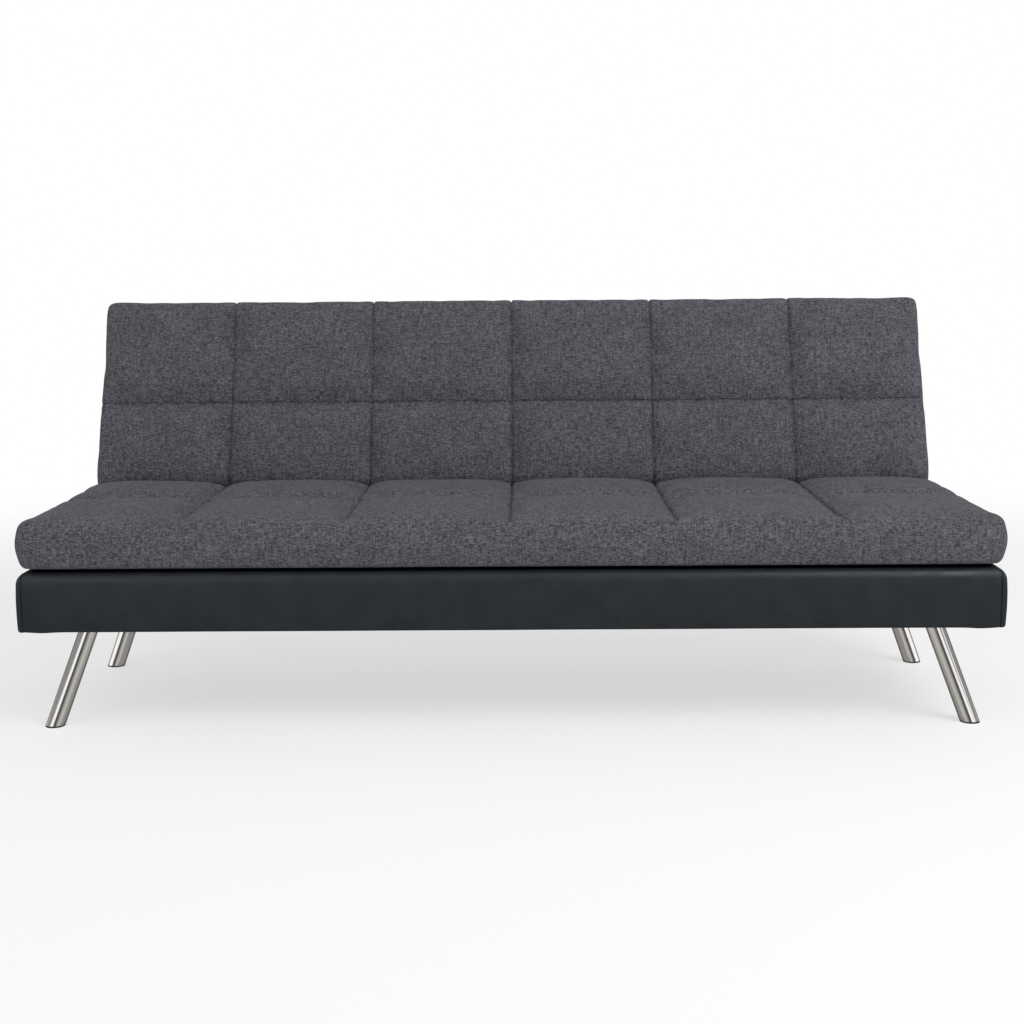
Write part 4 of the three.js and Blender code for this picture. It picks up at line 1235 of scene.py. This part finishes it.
def folded_path():
    """Core places and outward directions of the right strip, from its front flap round both corners."""
    flap = base_half - flap_width + np.array((0, 0.8, 2.0)) * mm
    turn = np.linspace(0, math.pi / 2, 7)
    y = np.linspace(-core_half[1], core_half[1], round(2 * core_half[1] / wrap_step))
    core = [(x, -core_half[1]) for x in flap] + [(core_half[0], -core_half[1])] * 7
    core += [(core_half[0], place) for place in y[1:-1]]
    core += [(core_half[0], core_half[1])] * 7 + [(x, core_half[1]) for x in flap[::-1]]
    away = [(0, -1)] * 3 + [(math.sin(angle), -math.cos(angle)) for angle in turn] + [(1, 0)] * (len(y) - 2)
    away += [(math.cos(angle), math.sin(angle)) for angle in turn] + [(0, 1)] * 3
    return np.array(core), np.array(away, dtype=float)


# %% Wrap strips
wave_height, wave_size = 0.9 * mm, (170 * mm, 70 * mm)
pull_height, pull_size = 0.6 * mm, (38 * mm, 50 * mm)
pull_middle, pull_reach = 30 * mm, 22 * mm
gather_height, gather_size = 0.7 * mm, (8 * mm, 45 * mm)
gather_start, gather_reach, gather_spread = 24 * mm, 26 * mm, 30 * mm
droop_depth, droop_rise = 1.6 * mm, 5 * mm
droop_middle, droop_reach = 38 * mm, 22 * mm
bracket_edge = (835 * mm, 855 * mm)
fixed_end = 12 * mm


def bell(value, middle, reach):
    """1 in the middle, falling softly to 0 on both sides."""
    return np.exp(-((value - middle) / reach) ** 2)


def wrap_strip(name, core, away, folded, mirrored, seed):
    """One strip of the wrap, its object and its flat size."""
    outline = core + away * wrap_corner
    along = np.concatenate([[0], np.cumsum(np.linalg.norm(np.diff(outline, axis=0), axis=1))])
    from_end = np.minimum(along, along[-1] - along)
    from_middle = np.abs(core[:, 0])
    corner = np.hypot(*(core_half - np.abs(core)).T)
    points, flat = [], []
    for (inset, height), run in zip(section, section_run):
        place = np.column_stack([along, np.full(len(along), run)])
        from_foot = section_run[-1] - run
        pull = pull_height * bell(run, pull_middle, pull_reach)
        gather = gather_height * math.exp(-max(from_foot - gather_start, 0) / gather_reach)
        waves = wave_height * ripple(place, wave_size, seed) + pull * ripple(place, pull_size, seed + 3)
        waves += gather * np.exp(-corner / gather_spread) * ripple(place, gather_size, seed + 6)
        waves *= 1 - smooth_step(inset, wrap_foot_radius, wrap_top_radius)
        stands = waves * smooth_step(from_end, 0, fixed_end)
        if folded:
            stands += flap_hem * smooth_step(from_end, 3.5 * mm, 1 * mm)
        else:
            stands -= flap_dip * smooth_step(from_middle, base_half - 17 * mm, base_half - 10 * mm)
        on_top = float(smooth_step(height, base_top + wrap_puff - wrap_top_drop, base_top))
        plan = wrap_places(core, away, inset - stands)
        droop = droop_depth * math.exp(-max(height - base_foot, 0) / droop_rise)
        droop = droop * bell(corner, droop_middle, droop_reach)
        near_bracket = smooth_step(from_middle, *bracket_edge) * (core[:, 1] > 0) * (not folded)
        flattened = near_bracket * max(height - base_top, 0)
        flattened += on_top * wrap_unevenness * (0.5 + 0.5 * ripple(place * (1, 0), (230 * mm, 1), seed + 9))
        points.append(np.column_stack([plan[:, 0], plan[:, 1] + base_middle, height - droop - flattened]))
        flat.append(place)
    columns = len(core)
    faces = [(k, k + columns, k + columns + 1, k + 1) for row in range(len(section) - 1)
             for k in range(row * columns, (row + 1) * columns - 1)]
    points = np.concatenate(points)
    if mirrored:
        points[:, 0] *= -1
        faces = [face[::-1] for face in faces]
    strip = make_object(name, points, faces, leatherette_skin, np.concatenate(flat))
    skin = strip.modifiers.new("thickness", "SOLIDIFY")
    skin.thickness = wrap_skin
    skin.offset = -1
    return apply_modifiers(strip), (along[-1], section_run[-1])


# %% Make the wrap
strips = {
    "front": (*straight_path(-1), False, False), "rear": (*straight_path(1), False, True),
    "left": (*folded_path(), True, True), "right": (*folded_path(), True, False),
}
for number, (name, path) in enumerate(strips.items()):
    strip, flat_size = wrap_strip(f"base_{name}_wrap", *path, seed=70.0 + 9 * number)
    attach(strip, "base")
    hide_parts(f"base_cover_{name}")
    print(strip.name, [round(size / mm) for size in flat_size], "mm")

# %% [markdown]
# ## Legs
#
# Each leg is a chrome-plated steel tube, 34 mm wide, that leans outwards. It is welded to a plate and ends
# in a plastic glide. The tube is cut level at both ends, so each ring of its points lies in a level plane
# that slices the slanting tube, which is easier to work out than to cut with a boolean.

# %% Legs
leg_radius = 17 * mm
leg_wall = 2 * mm
leg_top, leg_foot = 190.3 * mm, 2.3 * mm
leg_bore = 40 * mm
weld_size = 1.8 * mm
leg_places = {"front": (-303.1 * mm, -316.4 * mm), "rear": (91.2 * mm, 104.5 * mm)}
leg_head_x, leg_foot_x = 781 * mm, 852.3 * mm
leg_head_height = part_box("leg_plate_front_left")[0].z
leg_rings = [(leg_radius + weld_size, leg_top), (leg_radius + 0.3 * weld_size, leg_top - weld_size),
             (leg_radius, leg_top - 2 * weld_size)]
leg_rings += [(leg_radius, height) for height in np.linspace(leg_top - 10 * mm, leg_foot + 10 * mm, 9)]
leg_rings += [(leg_radius, leg_foot + 0.7 * mm), (leg_radius - 0.5 * mm, leg_foot),
              (leg_radius - leg_wall, leg_foot), (leg_radius - leg_wall, leg_bore)]
leg_sides = 72


def leg_body(head, foot):
    """A slanting tube from head to foot, cut level."""
    axis = (foot - head) / np.linalg.norm(foot - head)
    across = np.cross(axis, (0, 1, 0))
    across /= np.linalg.norm(across)
    turn = np.linspace(0, 2 * math.pi, leg_sides, endpoint=False)[:, None]
    circle = np.cos(turn) * across + np.sin(turn) * np.cross(axis, across)
    rings = []
    for radius, height in leg_rings:
        ring = head + radius * circle
        rings.append(ring + axis * (height - ring[:, 2:]) / axis[2])
    return ring_body(rings)


for end, (head_y, foot_y) in leg_places.items():
    for side, way in sides.items():
        head = np.array((way * leg_head_x, head_y, leg_head_height))
        foot = np.array((way * leg_foot_x, foot_y, 0))
        leg = make_object(f"{end}_{side}_leg_tube", *leg_body(head, foot), chrome_plate)
        sharpen(leg.data)
        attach(leg, "base")
        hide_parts(f"leg_{end}_{side}")
lean = math.degrees(math.atan2(leg_foot_x - leg_head_x, leg_head_height))
print("legs lean", round(lean, 1), "degrees")

# %% [markdown]
# ## Screws, bolts and springs
#
# Four pan-head screws hold each leg plate. The pivot bolts are hexagon bolts with a flange nut, and a small
# coil spring pushes each pawl. These are turned and rolled parts, so each is a row of rings round an axis.
# A hexagon is a ring too: its radius is half the width over its flats, divided by the cosine of the angle
# from the middle of the nearest flat.

# %% Leg plate screws
screw_inset = 11 * mm
screw_profile = [(4.5, 0), (4.5, 0.6), (4.1, 1.5), (3.2, 2.2), (2.0, 2.6), (1.6, 2.6), (1.4, 1.0)]
screw_turn = np.linspace(0, 2 * math.pi, 20, endpoint=False)
screw_circle = np.column_stack([np.cos(screw_turn), np.sin(screw_turn), 0 * screw_turn])
screw_body = ring_body([(screw_circle * radius + (0, 0, height)) * mm for radius, height in screw_profile])
screw_places = []
for low, high in plates:
    for x in (low.x + screw_inset, high.x - screw_inset):
        for y in (low.y + screw_inset, high.y - screw_inset):
            screw_places.append(((x, y, low.z), (1, 0, 0), (0, -1, 0), (0, 0, -1)))
screws = make_object("leg_plate_screws", *copies(screw_body, screw_places), zinc_plate)
sharpen(screws.data)
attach(screws, "base")
print("screws", len(screw_places))

# %% Pivot bolts
bolt_sides = 48
bolt_rows = [
    (852.9, 7.2, 0), (853.5, 8.0, 1), (857.2, 8.0, 1), (857.2, 8.9, 0), (857.9, 8.9, 0), (857.9, 5.0, 0),
    (874.1, 5.0, 0), (874.1, 8.9, 0), (875.0, 8.9, 0), (875.0, 7.5, 1), (877.7, 7.5, 1), (878.2, 6.9, 0),
    (878.2, 4.8, 0), (878.8, 4.8, 0), (879.1, 4.3, 0)]


def bolt_ring(place, radius, hexagonal):
    """A ring of the bolt across x. radius is half the width over the flats where the ring is a hexagon."""
    turn = np.linspace(0, 2 * math.pi, bolt_sides, endpoint=False)
    from_flat = (turn + math.pi / 6) % (math.pi / 3) - math.pi / 6
    reach = radius / (np.cos(from_flat) if hexagonal else np.ones(bolt_sides))
    return np.column_stack([np.full(bolt_sides, place), reach * np.cos(turn), reach * np.sin(turn)]) * mm


bolt_points, bolt_faces = ring_body([bolt_ring(*row) for row in bolt_rows])
for side, way in sides.items():
    points = bolt_points * (way, 1, 1) + (0, pivot.y, pivot.z)
    faces = bolt_faces if way > 0 else [face[::-1] for face in bolt_faces]
    bolt = make_object(f"{side}_hexagon_bolt", points, faces, zinc_plate)
    sharpen(bolt.data)
    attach(bolt, "base")
    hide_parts(f"pivot_bolt_{side}")

# %% Pawl springs
coil_turns = 19
coil_wire = 0.42 * mm
coil_steps = 12
for side, way in sides.items():
    low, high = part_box(f"pawl_spring_{side}")
    middle = (low + high) / 2
    coil_radius = (high.z - low.z) / 2 - coil_wire
    share = np.linspace(0, 1, coil_turns * coil_steps + 1)
    angle = share * coil_turns * 2 * math.pi
    path = np.column_stack([middle.x + coil_radius * np.cos(angle),
                            low.y + coil_wire + (high.y - low.y - 2 * coil_wire) * share,
                            middle.z + coil_radius * np.sin(angle)])
    spring = make_object(f"{side}_coil_spring", *sweep(path, coil_wire, 6), zinc_plate)
    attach(spring, "seat")
    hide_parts(f"pawl_spring_{side}")
print("spring", coil_turns, "turns")

# %% [markdown]
# ## Timber, plates and the other hard pieces
#
# The rails, decks, plates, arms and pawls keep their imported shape, which is already the real one. Sawn timber
# has its edges broken with sandpaper, and cut steel plate is deburred. A bevel modifier does both, and
# hardened normals keep the flat faces flat in the light. The base's rails are planed round along the top of
# their outer sides, so that they don't cut the skin. Each piece gets the finish that its name tells.

# %% Finishes and edges of the hard pieces
finish_words = {
    "left_rail": pine_along, "right_rail": pine_along, "cross_rail": pine_along, "rail": pine_across,
    "deck": hardboard, "plate": powder_coat, "spacer": powder_coat, "arm": powder_coat,
    "bracket": powder_coat, "bolt": zinc_plate, "pawl": zinc_plate, "leg_front": chrome_plate,
    "leg_rear": chrome_plate, "glide": polypropylene, "cover": leatherette_skin, "cloth": nonwoven_cloth,
}
edge_words = {
    "rail": 1.5 * mm, "deck": 0.6 * mm, "plate": 0.7 * mm, "spacer": 0.7 * mm, "arm": 0.7 * mm,
    "bracket": 0.7 * mm, "pawl_left": 0.5 * mm, "pawl_right": 0.5 * mm, "pawl_pin": 0.4 * mm,
    "glide": 0.6 * mm}
stained = {pine_across: stained_across, pine_along: stained_along}
edge_angle = math.radians(40)
rail_round = 17 * mm
rail_round_segments = 6
rounded_rails = [f"base_{name}_rail" for name in strips]
bevelled = 0


def mark_outer_edges(rail):
    """Shares the bevel out: all of it on top of a rail's outer sides, and little on its other edges."""
    weights = rail.data.attributes.new("bevel_weight_edge", "FLOAT", "EDGE")
    top = max((rail.matrix_world @ vertex.co).z for vertex in rail.data.vertices)
    for edge in rail.data.edges:
        ends = [rail.matrix_world @ rail.data.vertices[i].co for i in edge.vertices]
        insets = [(base_half - abs(end.x), end.y - base_front, base_rear - end.y) for end in ends]
        outer = any(max(pair) < 3 * mm for pair in zip(*insets)) and min(end.z for end in ends) > top - mm
        if edge.use_edge_sharp:
            weights.data[edge.index].value = 1.0 if outer else edge_words["rail"] / rail_round


for name, node in nodes.items():
    finish = next((material for word, material in finish_words.items() if word in name), melange_weave)
    if name.startswith("base_"):
        finish = stained.get(finish, finish)
    node.data.materials.clear()
    node.data.materials.append(finish)
    width = next((size for word, size in edge_words.items() if word in name), None)
    if width:
        sharpen(node.data)
        bevel = node.modifiers.new("broken_edge", "BEVEL")
        bevel.width = width
        bevel.segments = 2
        bevel.limit_method = "ANGLE"
        bevel.angle_limit = edge_angle
        if name in rounded_rails:
            mark_outer_edges(node)
            bevel.limit_method = "WEIGHT"
            bevel.width = rail_round
            bevel.segments = rail_round_segments
        bevel.harden_normals = True
        bevelled += 1
print("pieces with broken edges:", bevelled)
